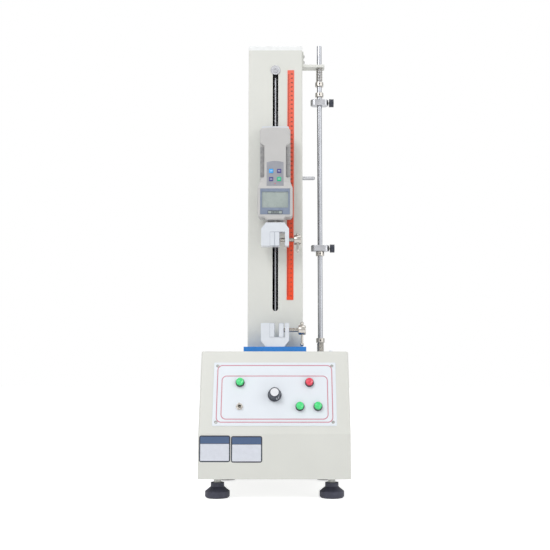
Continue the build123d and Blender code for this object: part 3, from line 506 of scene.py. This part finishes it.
def join(pieces):
    """Joins pieces into the first one, with its name."""
    start_clean()
    for piece in pieces:
        piece.select_set(True)
    bpy.context.view_layer.objects.active = pieces[0]
    if len(pieces) > 1:
        bpy.ops.object.join()
    return pieces[0]


def tile(name, width, height, thick, corner, material, matrix=None, edge=0.0):
    """A thin plate with round corners, lying in XY with its back at Z 0."""
    start_clean()
    bpy.ops.mesh.primitive_plane_add(size=1)
    made = bpy.context.object
    edit(made)
    bpy.ops.transform.resize(value=(mm(width), mm(height), 1))
    if corner:
        bpy.ops.mesh.bevel(offset=mm(corner), segments=6, affect="VERTICES")
    bpy.ops.mesh.select_all(action="SELECT")
    bpy.ops.mesh.extrude_region_move(TRANSFORM_OT_translate={"value": (0, 0, mm(thick))})
    if edge:
        select_where(made, "edges", lambda e: all(v.co.z > mm(thick) * 0.9 for v in e.verts) and e.is_boundary
                     or (all(v.co.z > mm(thick) * 0.9 for v in e.verts) and e.calc_face_angle(0) > 1))
        bpy.ops.mesh.bevel(offset=mm(edge), segments=2, affect="EDGES")
    bpy.ops.mesh.select_all(action="SELECT")
    bpy.ops.mesh.normals_make_consistent(inside=False)
    return finish_piece(made, name, material, matrix)


def ring(name, width, height, thick, corner, line, material, matrix=None):
    """A printed line round a rectangle with round corners."""
    start_clean()
    bpy.ops.mesh.primitive_plane_add(size=1)
    made = bpy.context.object
    edit(made)
    bpy.ops.transform.resize(value=(mm(width), mm(height), 1))
    bpy.ops.mesh.bevel(offset=mm(corner), segments=8, affect="VERTICES")
    bpy.ops.mesh.select_all(action="SELECT")
    bpy.ops.mesh.inset(thickness=mm(line))
    bpy.ops.mesh.delete(type="FACE")
    bpy.ops.mesh.select_all(action="SELECT")
    bpy.ops.mesh.extrude_region_move(TRANSFORM_OT_translate={"value": (0, 0, mm(thick))})
    bpy.ops.mesh.select_all(action="SELECT")
    bpy.ops.mesh.normals_make_consistent(inside=False)
    return finish_piece(made, name, material, matrix)


def spun(name, points, steps, material, matrix=None, smooth=35):
    """A turned piece about Z from radius and height points, drawn point by point and spun."""
    start_clean()
    bpy.ops.mesh.primitive_plane_add(size=0.001)
    made = bpy.context.object
    edit(made)
    bpy.ops.mesh.merge(type="CENTER")
    bpy.ops.transform.translate(value=(mm(points[0][0]), 0, mm(points[0][1])))
    for before, after in zip(points, points[1:]):
        step = (mm(after[0] - before[0]), 0, mm(after[1] - before[1]))
        bpy.ops.mesh.extrude_vertices_move(TRANSFORM_OT_translate={"value": step})
    bpy.ops.mesh.select_all(action="SELECT")
    bpy.ops.mesh.spin(steps=steps, angle=2 * pi, center=(0, 0, 0), axis=(0, 0, 1), use_auto_merge=True)
    bpy.ops.mesh.select_all(action="SELECT")
    bpy.ops.mesh.remove_doubles(threshold=mm(0.004))
    bpy.ops.mesh.select_all(action="SELECT")
    bpy.ops.mesh.dissolve_degenerate(threshold=mm(0.001))
    bpy.ops.mesh.select_all(action="SELECT")
    bpy.ops.mesh.normals_make_consistent(inside=False)
    return finish_piece(made, name, material, matrix, smooth)


# Places taken from the frame
def centre(node):
    low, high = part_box(node)
    return (low + high) / 2


SLOPE_TOP = Vector((0, mm(-130), mm(300)))      # upper edge of the sloping face
SLOPE_LEAN = atan2(60, 168)                     # from upright, by its run and rise
PANEL_THICK = 1.5


def on_slope(x, down, out=PANEL_THICK, spin=0.0):
    """A place on the sloping panel: X across, Y up the slope and Z out of it."""
    turn = Euler((pi / 2 - SLOPE_LEAN, 0, 0)).to_matrix().to_4x4()
    local = Matrix.Translation((mm(x), mm(-down), mm(out)))
    return Matrix.Translation(SLOPE_TOP) @ turn @ local @ Matrix.Rotation(spin, 4, "Z")


def facing_front(x, y, z):
    """A place on an upright face: X across, Y up and Z towards the front."""
    return Matrix.Translation((mm(x), mm(y), mm(z))) @ Matrix.Rotation(pi / 2, 4, "X")


# Finishes of the CAD nodes
CAD_FINISHES = {
    "powder_coat": ("base_housing", "rear_panel", "rod_bracket"),
    "column_coat": ("column_housing",),
    "blue_enamel": ("column_plate",),
    "cap_enamel": ("column_cap",),
    "white_enamel": ("lower_grip_frame", "lower_fixed_jaw", "lower_moving_jaw", "gauge_bracket",
                     "upper_grip_frame", "upper_fixed_jaw", "upper_moving_jaw"),
    "panel_sheet": ("control_plate",),
    "ruler_print": ("ruler",),
    "ground_rod": ("limit_rod", "guide_rods"),
    "nickel_plate": ("toggle_switch", "toggle_lever", "rod_collars", "upper_t_bar", "lower_t_bar",
                     "upper_clamp_screw", "lower_clamp_screw"),
    "zinc_steel": ("cover_screws", "bottom_plate", "gauge_shaft", "bearing_plates"),
    "turned_steel": ("lead_screw",),
    "mill_aluminium": ("upper_stop", "lower_stop", "trip_finger", "guide_screw", "carriage_block",
                       "gauge_load_cell", "shaft_coupling"),
    "cast_bronze": ("carriage_bushings",),
    "phenolic": ("upper_stop_screw", "lower_stop_screw", "speed_knob"),
    "foot_nylon": ("foot_front_left", "foot_front_right", "foot_rear_left", "foot_rear_right"),
    "moulded_abs": ("gauge_front_shell", "gauge_rear_shell"),
    "keypad_film": ("gauge_key_panel",),
    "window_frame": ("gauge_window_frame",),
    "display_glass": ("gauge_display",),
    "green_cap": ("power_button", "up_button", "down_button"),
    "red_cap": ("stop_button",),
    "black_moulding": ("control_bodies", "power_inlet", "limit_switches"),
    "black_oxide": ("upper_spring", "lower_spring"),
    "circuit_board": ("control_electronics",),
    "motor_paint": ("drive_motor",),
}


class TESTER_OT_cad_finishes(bpy.types.Operator):
    """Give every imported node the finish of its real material"""
    bl_idname = "tester.cad_finishes"
    bl_label = "Node finishes"

    def execute(self, context):
        for name, nodes in CAD_FINISHES.items():
            dress(name, *nodes)
        return {"FINISHED"}


class TESTER_OT_panel_print(bpy.types.Operator):
    """Print the two round-cornered lines on the control panel"""
    bl_idname = "tester.panel_print"
    bl_label = "Panel print"

    def execute(self, context):
        thick, line = sizes().ink_thick * 1000, sizes().line_width * 1000
        for name, width, top, bottom in (("outer_line", 240, 31.0, 155.0), ("inner_line", 221, 54.2, 148.6)):
            place = on_slope(0, (top + bottom) / 2)
            made = ring(name, width, bottom - top, thick, 11, line, "line_ink", place)
            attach(made, "frame")
        return {"FINISHED"}


class TESTER_OT_front_plates(bpy.types.Operator):
    """Fix the two bare plates to the upright part of the front"""
    bl_idname = "tester.front_plates"
    bl_label = "Front plates"

    def execute(self, context):
        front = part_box("base_housing")[0].y * 1000
        thick = sizes().sticker_thick * 1000
        border, header = 2.5, 13.6
        for name, x0, x1, z0, z1 in (("left", -152.6, -89.4, 76.3, 129.4), ("right", -88.0, -24.6, 75.3, 128.2)):
            width, height = x1 - x0, z1 - z0
            x = (x0 + x1) / 2
            back = tile("plate_back_" + name, width, height, thick, 4.5, "plate_dark",
                        facing_front(x, front, (z0 + z1) / 2), 0.05)
            head = tile("plate_header_" + name, width - 2 * border, header, 0.05, 1.2, "plate_header",
                        facing_front(x, front - thick, z1 - border - header / 2))
            low, high = z0 + border, z1 - border - header - 0.8
            field = tile("plate_field_" + name, width - 2 * border, high - low, 0.05, 1.2, "plate_field",
                         facing_front(x, front - thick, (low + high) / 2))
            for piece in (back, head, field):
                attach(piece, "frame")
        return {"FINISHED"}


# Where each button stands: across the panel and down the slope
BUTTONS = {"power_button": (-72, 70), "stop_button": (72, 70),
           "up_button": (52, 121.5), "down_button": (89, 121.5)}


class TESTER_OT_buttons(bpy.types.Operator):
    """Make the polished button caps, each with a raised square pad"""
    bl_idname = "tester.buttons"
    bl_label = "Push-buttons"

    def execute(self, context):
        profile = [(0, 4.1), (7.2, 4.1), (7.9, 4.6), (7.9, 9.4), (7.75, 10.1), (7.3, 10.7), (6.6, 11.0),
                   (5.6, 11.05), (5.0, 10.75), (4.4, 10.6), (0, 10.55)]
        for node, (x, down) in BUTTONS.items():
            shade = "red_cap" if node == "stop_button" else "green_cap"
            cap = spun(node + "_cap", profile, 48, shade, on_slope(x, down))
            lens = tile(node + "_lens", 6.4, 6.4, 0.4, 1.6, shade, on_slope(x, down, PANEL_THICK + 10.5), 0.2)
            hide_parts(node)
            for piece in (cap, lens):
                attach(piece, node)
        return {"FINISHED"}


class TESTER_OT_speed_knob(bpy.types.Operator):
    """Make the fluted speed knob with its pale insert and pointer lines"""
    bl_idname = "tester.speed_knob"
    bl_label = "Speed knob"

    def execute(self, context):
        place = on_slope(0, 97, PANEL_THICK, radians(-148))
        skirt = spun("knob_skirt", [(0, 2), (13.6, 2), (14.2, 2.5), (14.2, 4.2), (13.4, 5), (0, 5)], 64,
                     "phenolic", place)
        start_clean()
        middle = mm(13)
        bpy.ops.mesh.primitive_cylinder_add(vertices=12, radius=mm(13), depth=mm(16.4), location=(0, 0, middle))
        grip = bpy.context.object
        edit(grip)
        select_where(grip, "verts", lambda v: v.co.z > 0)
        bpy.ops.transform.resize(value=(0.84, 0.84, 1))
        select_where(grip, "edges", lambda e: abs(e.verts[0].co.z - e.verts[1].co.z) > mm(5))
        bpy.ops.mesh.bevel(offset=mm(0.9), segments=3, affect="EDGES")
        select_where(grip, "faces", lambda f: f.normal.z > 0.9)
        bpy.ops.mesh.inset(thickness=mm(0.9))
        bpy.ops.transform.translate(value=(0, 0, mm(0.8)))
        bpy.ops.mesh.inset(thickness=mm(0.5))
        bpy.ops.transform.translate(value=(0, 0, mm(-0.4)))
        grip = finish_piece(grip, "knob_grip", "phenolic", place @ Matrix.Translation((0, 0, middle)))
        insert = spun("knob_insert", [(0, 20.6), (8.2, 20.6), (8.8, 21), (8.8, 21.4), (8.3, 22), (0, 22.1)], 48,
                      "white_insert", place)
        marks = []
        for i, (x, length) in enumerate(((-2.2, 9), (2.2, 9))):
            flank = Matrix.Translation((mm(x), mm(12.3), middle)) @ Matrix.Rotation(radians(-82.5), 4, "X")
            marks.append(tile(f"knob_mark_{i}", 1.2, length, 0.3, 0.3, "white_insert", place @ flank))
        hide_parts("speed_knob")
        for piece in [skirt, grip, insert] + marks:
            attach(piece, "speed_knob")
        return {"FINISHED"}


RULER_WIDTH = 14.8
RULER_LEAN = radians(-0.24)     # the strip was laid a little out of true
FIRST_MARK = 9                  # first number above the strip's lower end
NUMBER_PITCH = 10.04


class TESTER_OT_ruler_marks(bpy.types.Operator):
    """Lay the ruler's strip and print its millimetre and centimetre ticks and its numbers"""
    bl_idname = "tester.ruler_marks"
    bl_label = "Ruler marks"

    def execute(self, context):
        low, high = (corner * 1000 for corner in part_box("ruler"))
        height, thick = high.z - low.z, high.y - low.y
        place = facing_front((low.x + high.x) / 2, high.y, (low.z + high.z) / 2)
        place = place @ Matrix.Rotation(RULER_LEAN, 4, "Z")
        sheet = tile("ruler_strip", RULER_WIDTH, height - 0.2, thick, 0, "ruler_print", place)
        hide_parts("ruler")
        pieces = [sheet]
        step = place.to_3x3() @ Vector((0, mm(1), 0))
        for name, length, every in (("fine", 3.0, 1), ("centimetre", sizes().tick_length * 1000, 10)):
            left = 0.7 - RULER_WIDTH / 2
            start = Matrix.Translation((mm(left + length / 2), mm(FIRST_MARK - height / 2), mm(thick)))
            ticks = tile("ruler_ticks_" + name, length, 0.32, 0.04, 0, "number_ink", place @ start)
            rows = ticks.modifiers.new("rows", "ARRAY")
            rows.count = 501 // every + 1
            rows.use_relative_offset = False
            rows.use_constant_offset = True
            rows.constant_offset_displace = step * every
            apply_all(ticks)
            pieces.append(ticks)
        numbers = []
        for i in range(51):
            start_clean()
            bpy.ops.object.text_add()
            text = bpy.context.object
            text.data.body = str(i)
            text.data.size = sizes().number_height * 1.35
            text.data.align_x = "CENTER"
            text.data.align_y = "CENTER"
            text.data.extrude = mm(0.03)
            text.data.offset = mm(0.14)
            text.data.resolution_u = 2
            bpy.ops.object.convert(target="MESH")
            rise = FIRST_MARK + NUMBER_PITCH * i - height / 2
            spot = Matrix.Translation((mm(2.1), mm(rise), mm(thick + 0.02)))
            numbers.append(finish_piece(bpy.context.object, "number", "number_ink", place @ spot, 0))
        numbers = join(numbers)
        numbers.name = "ruler_numbers"
        for piece in pieces + [numbers]:
            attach(piece, "frame")
        return {"FINISHED"}


GAUGE_FACE = -129.0     # upper body's front
GAUGE_HEAD = -132.6     # window frame's front
KEYS = {"key_blue": (-8.6, 688.9), "key_violet": (8.6, 688.9), "key_green": (8.6, 671)}


class TESTER_OT_gauge_details(bpy.types.Operator):
    """Fit the gauge's coloured keys, lamp, unit strip and ribbed hand holds"""
    bl_idname = "tester.gauge_details"
    bl_label = "Gauge details"

    def execute(self, context):
        pieces = []
        for name, (x, z) in list(KEYS.items()) + [("key_violet", (-8.6, 671))]:
            pieces.append(tile(f"{name}_{x:.0f}", 9.3, 9.3, 0.18, 1.3, name,
                               facing_front(x, GAUGE_FACE - 0.6, z), 0.06))
            pieces.append(tile(f"{name}_bar_{x:.0f}", 5.2, 1.2, 0.03, 0.3, "plate_field",
                               facing_front(x, GAUGE_FACE - 0.78, z)))
        lamp = [(0, -0.2), (1.0, -0.2), (0.9, 0.25), (0.5, 0.5), (0, 0.55)]
        pieces.append(spun("gauge_lamp", lamp, 20, "red_cap", facing_front(0, GAUGE_FACE - 0.1, 661.7)))
        pieces.append(tile("unit_strip", 32, 7.7, 0.08, 0.6, "plate_dark", facing_front(0, GAUGE_HEAD, 597.9)))
        for i, x in enumerate((-11.6, -3.9, 3.9, 11.6)):
            pieces.append(tile(f"unit_cell_{i}", 6.6, 5.4, 0.05, 0.4, "display_glass",
                               facing_front(x, GAUGE_HEAD - 0.08, 597.9)))
            if 0 < i < 3:
                for j in (-1, 1):
                    pieces.append(tile(f"unit_bar_{i}_{j + 1}", 4.8, 1.5, 0.03, 0.2, "plate_dark",
                                       facing_front(x, GAUGE_HEAD - 0.13, 597.9 + j * 1.3)))
        for side in (-1, 1):
            name = "left" if side < 0 else "right"
            # Painted shade: the pad and ribs in the recessed hand holds take the darker ABS
            pad = tile("hold_pad_" + name, 8.6, 68, 0.4, 2, "moulded_grip",
                       facing_front(side * 28.2, -122, 710.5), 0.2)
            ribs = [tile("rib", 7.6, 1.5, 0.7, 0.6, "moulded_grip",
                         facing_front(side * 28.2, -122.3, 681 + 4.2 * i), 0.3) for i in range(15)]
            rib = join(ribs)
            rib.name = "hold_ribs_" + name
            pieces += [pad, rib]
        for piece in pieces:
            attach(piece, "carriage")
        return {"FINISHED"}


def screw_profile(back, hub, pin_r, shank_r, hub_r, hub_length):
    """Turned clamp screw along its axis: pin, ringed thread and a smooth hub."""
    points = [(0, back - 5), (pin_r, back - 5), (pin_r, back + 0.5), (shank_r - 0.5, back + 0.6)]
    z = back + 1
    while z < hub - 1.6:
        points += [(shank_r, z), (shank_r, z + 0.35), (shank_r - 0.55, z + 0.75), (shank_r - 0.55, z + 1.1)]
        z += 1.5
    points += [(shank_r, hub - 0.4), (hub_r - 1.6, hub), (hub_r - 0.5, hub + 0.5), (hub_r, hub + 1.6),
               (hub_r, hub + hub_length - 1.8), (hub_r - 0.5, hub + hub_length - 0.6),
               (hub_r - 1.8, hub + hub_length), (3.2, hub + hub_length), (2.4, hub + hub_length - 0.6),
               (0, hub + hub_length - 0.6)]
    return points


class TESTER_OT_jaw_seams(bpy.types.Operator):
    """Paint shade on the broken edges of the four jaws, as a grey line round each jaw's front face"""
    bl_idname = "tester.jaw_seams"
    bl_label = "Jaw seams"

    def execute(self, context):
        for side in ("upper", "lower"):
            for kind, body in (("fixed", "carriage" if side == "upper" else "frame"), ("moving", side + "_jaw")):
                low, high = (corner * 1000 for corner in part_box(f"{side}_{kind}_jaw"))
                place = facing_front((low.x + high.x) / 2, low.y, (low.z + high.z) / 2)
                # Painted shade: a grey line round the jaw's front face stands for its shaded broken edge
                painted_edge = ring(f"{side}_{kind}_seam", high.x - low.x - 0.1, high.z - low.z - 0.1, 0.03, 0.2, 0.55,
                            "seam_ink", place)
                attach(painted_edge, body)
        return {"FINISHED"}


class TESTER_OT_clamp_screws(bpy.types.Operator):
    """Turn the two clamp screws with their threads and plated hubs"""
    bl_idname = "tester.clamp_screws"
    bl_label = "Clamp screws"

    def execute(self, context):
        for side in ("upper", "lower"):
            node = side + "_clamp_screw"
            low, high = (corner * 1000 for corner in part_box(node))
            y, z = (low.y + high.y) / 2, (low.z + high.z) / 2
            hub = high.x - 16
            back = low.x + 5
            turn = Matrix.Translation((0, mm(y), mm(z))) @ Matrix.Rotation(pi / 2, 4, "Y")
            made = spun(node + "_turned", screw_profile(back, hub, 3.2, 4.5, 10.3, 16), 48, "nickel_plate", turn)
            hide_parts(node)
            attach(made, node)
        return {"FINISHED"}


class TESTER_OT_thumb_screws(bpy.types.Operator):
    """Make the knurled thumb screws of the two stops"""
    bl_idname = "tester.thumb_screws"
    bl_label = "Thumb screws"

    def execute(self, context):
        for side in ("upper", "lower"):
            node = side + "_stop_screw"
            low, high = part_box(node)
            middle = (low + high) / 2
            start_clean()
            bpy.ops.mesh.primitive_cylinder_add(vertices=72, radius=mm(8.95), depth=mm(10))
            knob = bpy.context.object
            edit(knob)
            select_where(knob, "verts", lambda v: round(atan2(v.co.y, v.co.x) / (2 * pi / 72)) % 3 == 0)
            bpy.ops.transform.resize(value=(0.93, 0.93, 1))
            select_where(knob, "faces", lambda f: abs(f.normal.z) > 0.9)
            bpy.ops.mesh.inset(thickness=mm(1.1))
            select_where(knob, "faces", lambda f: abs(f.normal.z) > 0.9 and f.calc_area() > mm(8) ** 2)
            bpy.ops.mesh.inset(thickness=mm(1.4))
            bpy.ops.transform.resize(value=(1, 1, 0.9))
            turn = Matrix.Translation((high.x - mm(5), middle.y, middle.z)) @ Matrix.Rotation(pi / 2, 4, "Y")
            knob = finish_piece(knob, node + "_knob", "phenolic", turn, 25)
            shank = spun(node + "_shank", [(0, 0), (2.5, 0), (2.5, 16.4), (0, 16.4)], 24, "zinc_steel",
                         Matrix.Translation((low.x, middle.y, middle.z)) @ Matrix.Rotation(pi / 2, 4, "Y"))
            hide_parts(node)
            for piece in (knob, shank):
                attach(piece, node)
        return {"FINISHED"}


class TESTER_OT_springs(bpy.types.Operator):
    """Wind the two springs of the limit rod"""
    bl_idname = "tester.springs"
    bl_label = "Springs"

    def execute(self, context):
        coil = 6.75
        for node, turns, wire in (("upper_spring", 8, 0.8), ("lower_spring", 9, 0.95)):
            low, high = (corner * 1000 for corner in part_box(node))
            x, y = (low.x + high.x) / 2, (low.y + high.y) / 2
            start_clean()
            bpy.ops.mesh.primitive_circle_add(vertices=12, radius=mm(wire), location=(mm(coil), 0, 0))
            made = bpy.context.object
            edit(made)
            bpy.ops.transform.rotate(value=pi / 2, orient_axis="X", center_override=(mm(coil), 0, 0))
            bpy.ops.object.mode_set(mode="OBJECT")
            bpy.ops.object.transform_apply(location=True, rotation=True, scale=True)
            twist = made.modifiers.new("twist", "SCREW")
            twist.axis = "Z"
            twist.steps = twist.render_steps = 40
            twist.iterations = turns
            twist.screw_offset = mm((high.z - low.z - 2 * wire) / turns)
            twist.use_smooth_shade = True
            apply_all(made)
            edit(made)
            select_where(made, "edges", lambda e: e.is_boundary)
            bpy.ops.mesh.edge_face_add()
            bpy.ops.mesh.select_all(action="SELECT")
            bpy.ops.mesh.normals_make_consistent(inside=False)
            made = finish_piece(made, node + "_coil", "nickel_plate",
                                Matrix.Translation((mm(x), mm(y), mm(low.z + wire))))
            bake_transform(made)
            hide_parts(node)
        return {"FINISHED"}


GUIDE_SOCKET = 2.6      # depth of the guide screw's hexagon socket


class TESTER_OT_small_hardware(bpy.types.Operator):
    """Add set screws, studs, rear screws, inlet blades and the cap on the base's top"""
    bl_idname = "tester.small_hardware"
    bl_label = "Small hardware"

    def execute(self, context):
        rod_x, rod_y = centre("limit_rod").x * 1000, centre("limit_rod").y * 1000
        pieces = []
        for i, z in enumerate((901, 876.4, 512.8, 320.5)):
            socket = [(0, -0.6), (0.7, -0.6), (0.8, 0), (1.5, 0), (1.55, -0.4), (1.55, -2.5), (0, -2.5)]
            front = facing_front(rod_x, rod_y - 8.6, z + 5)
            side = Matrix.Translation((mm(rod_x + 9.3), mm(rod_y), mm(z + 5))) @ Matrix.Rotation(pi / 2, 4, "Y")
            pieces.append((spun(f"set_screw_front_{i}", socket, 20, "black_oxide", front), "limit_rod", "steel"))
            pieces.append((spun(f"set_screw_side_{i}", socket, 20, "black_oxide", side), "limit_rod", "steel"))
        for name in ("front_left", "front_right", "rear_left", "rear_right"):
            low, high = (corner * 1000 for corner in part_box("foot_" + name))
            x, y = (low.x + high.x) / 2, (low.y + high.y) / 2
            thread = [(7.3, 31)]
            for i in range(5):
                z = 31.3 + 2.1 * i
                thread += [(7.62, z), (7.62, z + 0.5), (7.52, z + 1.0), (7.52, z + 1.6)]
            thread += [(7.3, 41.8)]
            stud = spun("stud_" + name, thread + [thread[0]], 48, "zinc_steel",
                        Matrix.Translation((mm(x), mm(y), 0)))
            pieces.append((stud, "foot_" + name, "steel"))
        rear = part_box("rear_panel")[1].y * 1000
        head = [(0, 0), (3.4, 0), (3.2, 0.9), (2.4, 1.6), (1.4, 1.9), (1.2, 1.0), (0, 1.0)]
        for i, (x, z) in enumerate(((-146, 60), (146, 60), (-146, 170), (146, 170), (-146, 288), (146, 288))):
            place = Matrix.Translation((mm(x), mm(rear), mm(z))) @ Matrix.Rotation(-pi / 2, 4, "X")
            pieces.append((spun(f"rear_screw_{i}", head, 24, "zinc_steel", place), "frame", "steel"))
        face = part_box("power_inlet")[1].y * 1000
        for i, (dx, dz) in enumerate(((-7, -2), (0, 3), (7, -2))):
            blade_spot = Matrix.Translation((mm(-95 + dx), mm(face - 19), mm(90 + dz)))
            place = blade_spot @ Matrix.Rotation(-pi / 2, 4, "X")
            pieces.append((tile(f"inlet_blade_{i}", 2.2, 4.2, 15.4, 0.5, "brass_blade", place), "frame", "steel"))
        core = centre("guide_screw").z * 1000
        # Painted shade: a black disc at the bottom of the guide screw's hexagon socket
        socket = spun("guide_socket", [(0, 0), (2.3, 0), (2.3, 0.1), (0, 0.1)], 6, "black_oxide",
                      facing_front(0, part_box("guide_screw")[0].y * 1000 + GUIDE_SOCKET, core), 0)
        pieces.append((socket, "frame", "steel"))
        dome = [(0, 0), (4.5, 0), (4.5, 0.6), (4.0, 1.8), (2.8, 2.7), (1.4, 3.0), (0, 3.05)]
        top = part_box("base_housing")[1].z
        pieces.append((spun("hole_cap", dome, 32, "white_enamel", Matrix.Translation((mm(120.5), mm(-80), top))),
                       "frame", "white_coat"))
        for piece, body, slot in pieces:
            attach(piece, body)
        return {"FINISHED"}


WORLD_LIGHT = 0.44      # what the surroundings add to surfaces
LAMPS = (
    ("key_lamp", (-1.1, -2.2, 2.3), (0, 0, 0.5), (1.4, 1.4), 31),
    ("fill_lamp", (1.9, -1.6, 1.2), (0, 0, 0.5), (1.4, 1.8), 13),
    ("top_lamp", (0, 0.3, 2.8), (0, -0.1, 0.3), (1.6, 1.6), 15),
)


def floor_white():
    # Matt white paper sweep: white to the lens, and it keeps the object's shadow
    made = new_finish("floor_white", linear("#F4F4F4"), 0.9)
    tree = made.node_tree
    shader = tree.nodes["Principled BSDF"]
    path = add_node(tree, "ShaderNodeLightPath")
    seen = add_node(tree, "ShaderNodeMath", {0: path.outputs["Is Camera Ray"], 1: path.outputs["Is Glossy Ray"]},
                    operation="MAXIMUM")
    lift = add_node(tree, "ShaderNodeMath", {0: seen.outputs[0], 1: 0.7}, operation="MULTIPLY")
    shader.inputs["Emission Color"].default_value = (1, 1, 1, 1)
    tree.links.new(lift.outputs[0], shader.inputs["Emission Strength"])
    return made


class TESTER_OT_stage(bpy.types.Operator):
    """Set the pale floor, the soft lamps and the camera"""
    bl_idname = "tester.stage"
    bl_label = "Stage"

    def execute(self, context):
        scene = context.scene
        scene.view_settings.view_transform = "Standard"
        start_clean()
        bpy.ops.mesh.primitive_plane_add(size=12, location=(0, 3, 0))
        floor = context.object
        floor.name = "floor"
        floor.data.materials.append(floor_white())
        world = bpy.data.worlds.new("studio")
        scene.world = world
        world.use_nodes = True
        tree = world.node_tree
        path = add_node(tree, "ShaderNodeLightPath")
        seen = add_node(tree, "ShaderNodeMath", {0: path.outputs["Is Camera Ray"], 1: path.outputs["Is Glossy Ray"]},
                        operation="MAXIMUM")
        seen = add_node(tree, "ShaderNodeMath", {0: seen.outputs[0], 1: path.outputs["Is Transmission Ray"]},
                        operation="MAXIMUM")
        level = add_node(tree, "ShaderNodeMapRange", {"Value": seen.outputs[0], "To Min": WORLD_LIGHT, "To Max": 1.0})
        back = tree.nodes["Background"]
        back.inputs["Color"].default_value = (1, 1, 1, 1)
        tree.links.new(level.outputs["Result"], back.inputs["Strength"])
        for name, place, aim, wide, power in LAMPS:
            data = bpy.data.lights.new(name, "AREA")
            data.shape = "RECTANGLE"
            data.size, data.size_y = wide
            data.energy = power
            lamp = bpy.data.objects.new(name, data)
            scene.collection.objects.link(lamp)
            lamp.location = place
            lamp.rotation_euler = (Vector(aim) - Vector(place)).to_track_quat("-Z", "Y").to_euler()
        lens = bpy.data.cameras.new("camera")
        lens.lens = 56.6
        lens.sensor_width = 36
        lens.shift_x = -0.0182
        camera = bpy.data.objects.new("camera", lens)
        scene.collection.objects.link(camera)
        camera.location = (mm(21.4), mm(-1965.6), mm(268.3))
        camera.rotation_euler = (radians(96.04), 0, 0)
        scene.camera = camera
        return {"FINISHED"}


OPERATORS = (TESTER_OT_cad_finishes, TESTER_OT_panel_print, TESTER_OT_front_plates, TESTER_OT_buttons,
             TESTER_OT_speed_knob, TESTER_OT_ruler_marks, TESTER_OT_gauge_details, TESTER_OT_jaw_seams,
             TESTER_OT_clamp_screws, TESTER_OT_thumb_screws, TESTER_OT_springs,
             TESTER_OT_small_hardware, TESTER_OT_stage)


class TESTER_PT_panel(bpy.types.Panel):
    bl_label = "Tensile Tester"
    bl_idname = "TESTER_PT_panel"
    bl_space_type = "VIEW_3D"
    bl_region_type = "UI"
    bl_category = "Tester"

    def draw(self, context):
        for group in (context.scene.tester_colours, context.scene.tester_sizes):
            for name in group.__annotations__:
                self.layout.prop(group, name)
        for operator in OPERATORS:
            self.layout.operator(operator.bl_idname)


CLASSES = (TesterColours, TesterSizes) + OPERATORS + (TESTER_PT_panel,)


def register():
    for entry in CLASSES:
        bpy.utils.register_class(entry)
    bpy.types.Scene.tester_colours = bpy.props.PointerProperty(type=TesterColours)
    bpy.types.Scene.tester_sizes = bpy.props.PointerProperty(type=TesterSizes)


def unregister():
    del bpy.types.Scene.tester_sizes
    del bpy.types.Scene.tester_colours
    for entry in reversed(CLASSES):
        bpy.utils.unregister_class(entry)


def main():
    register()
    for operator in OPERATORS:
        group, name = operator.bl_idname.split(".")
        getattr(getattr(bpy.ops, group), name)()
    start_clean()


if __name__ == "__main__":
    main()
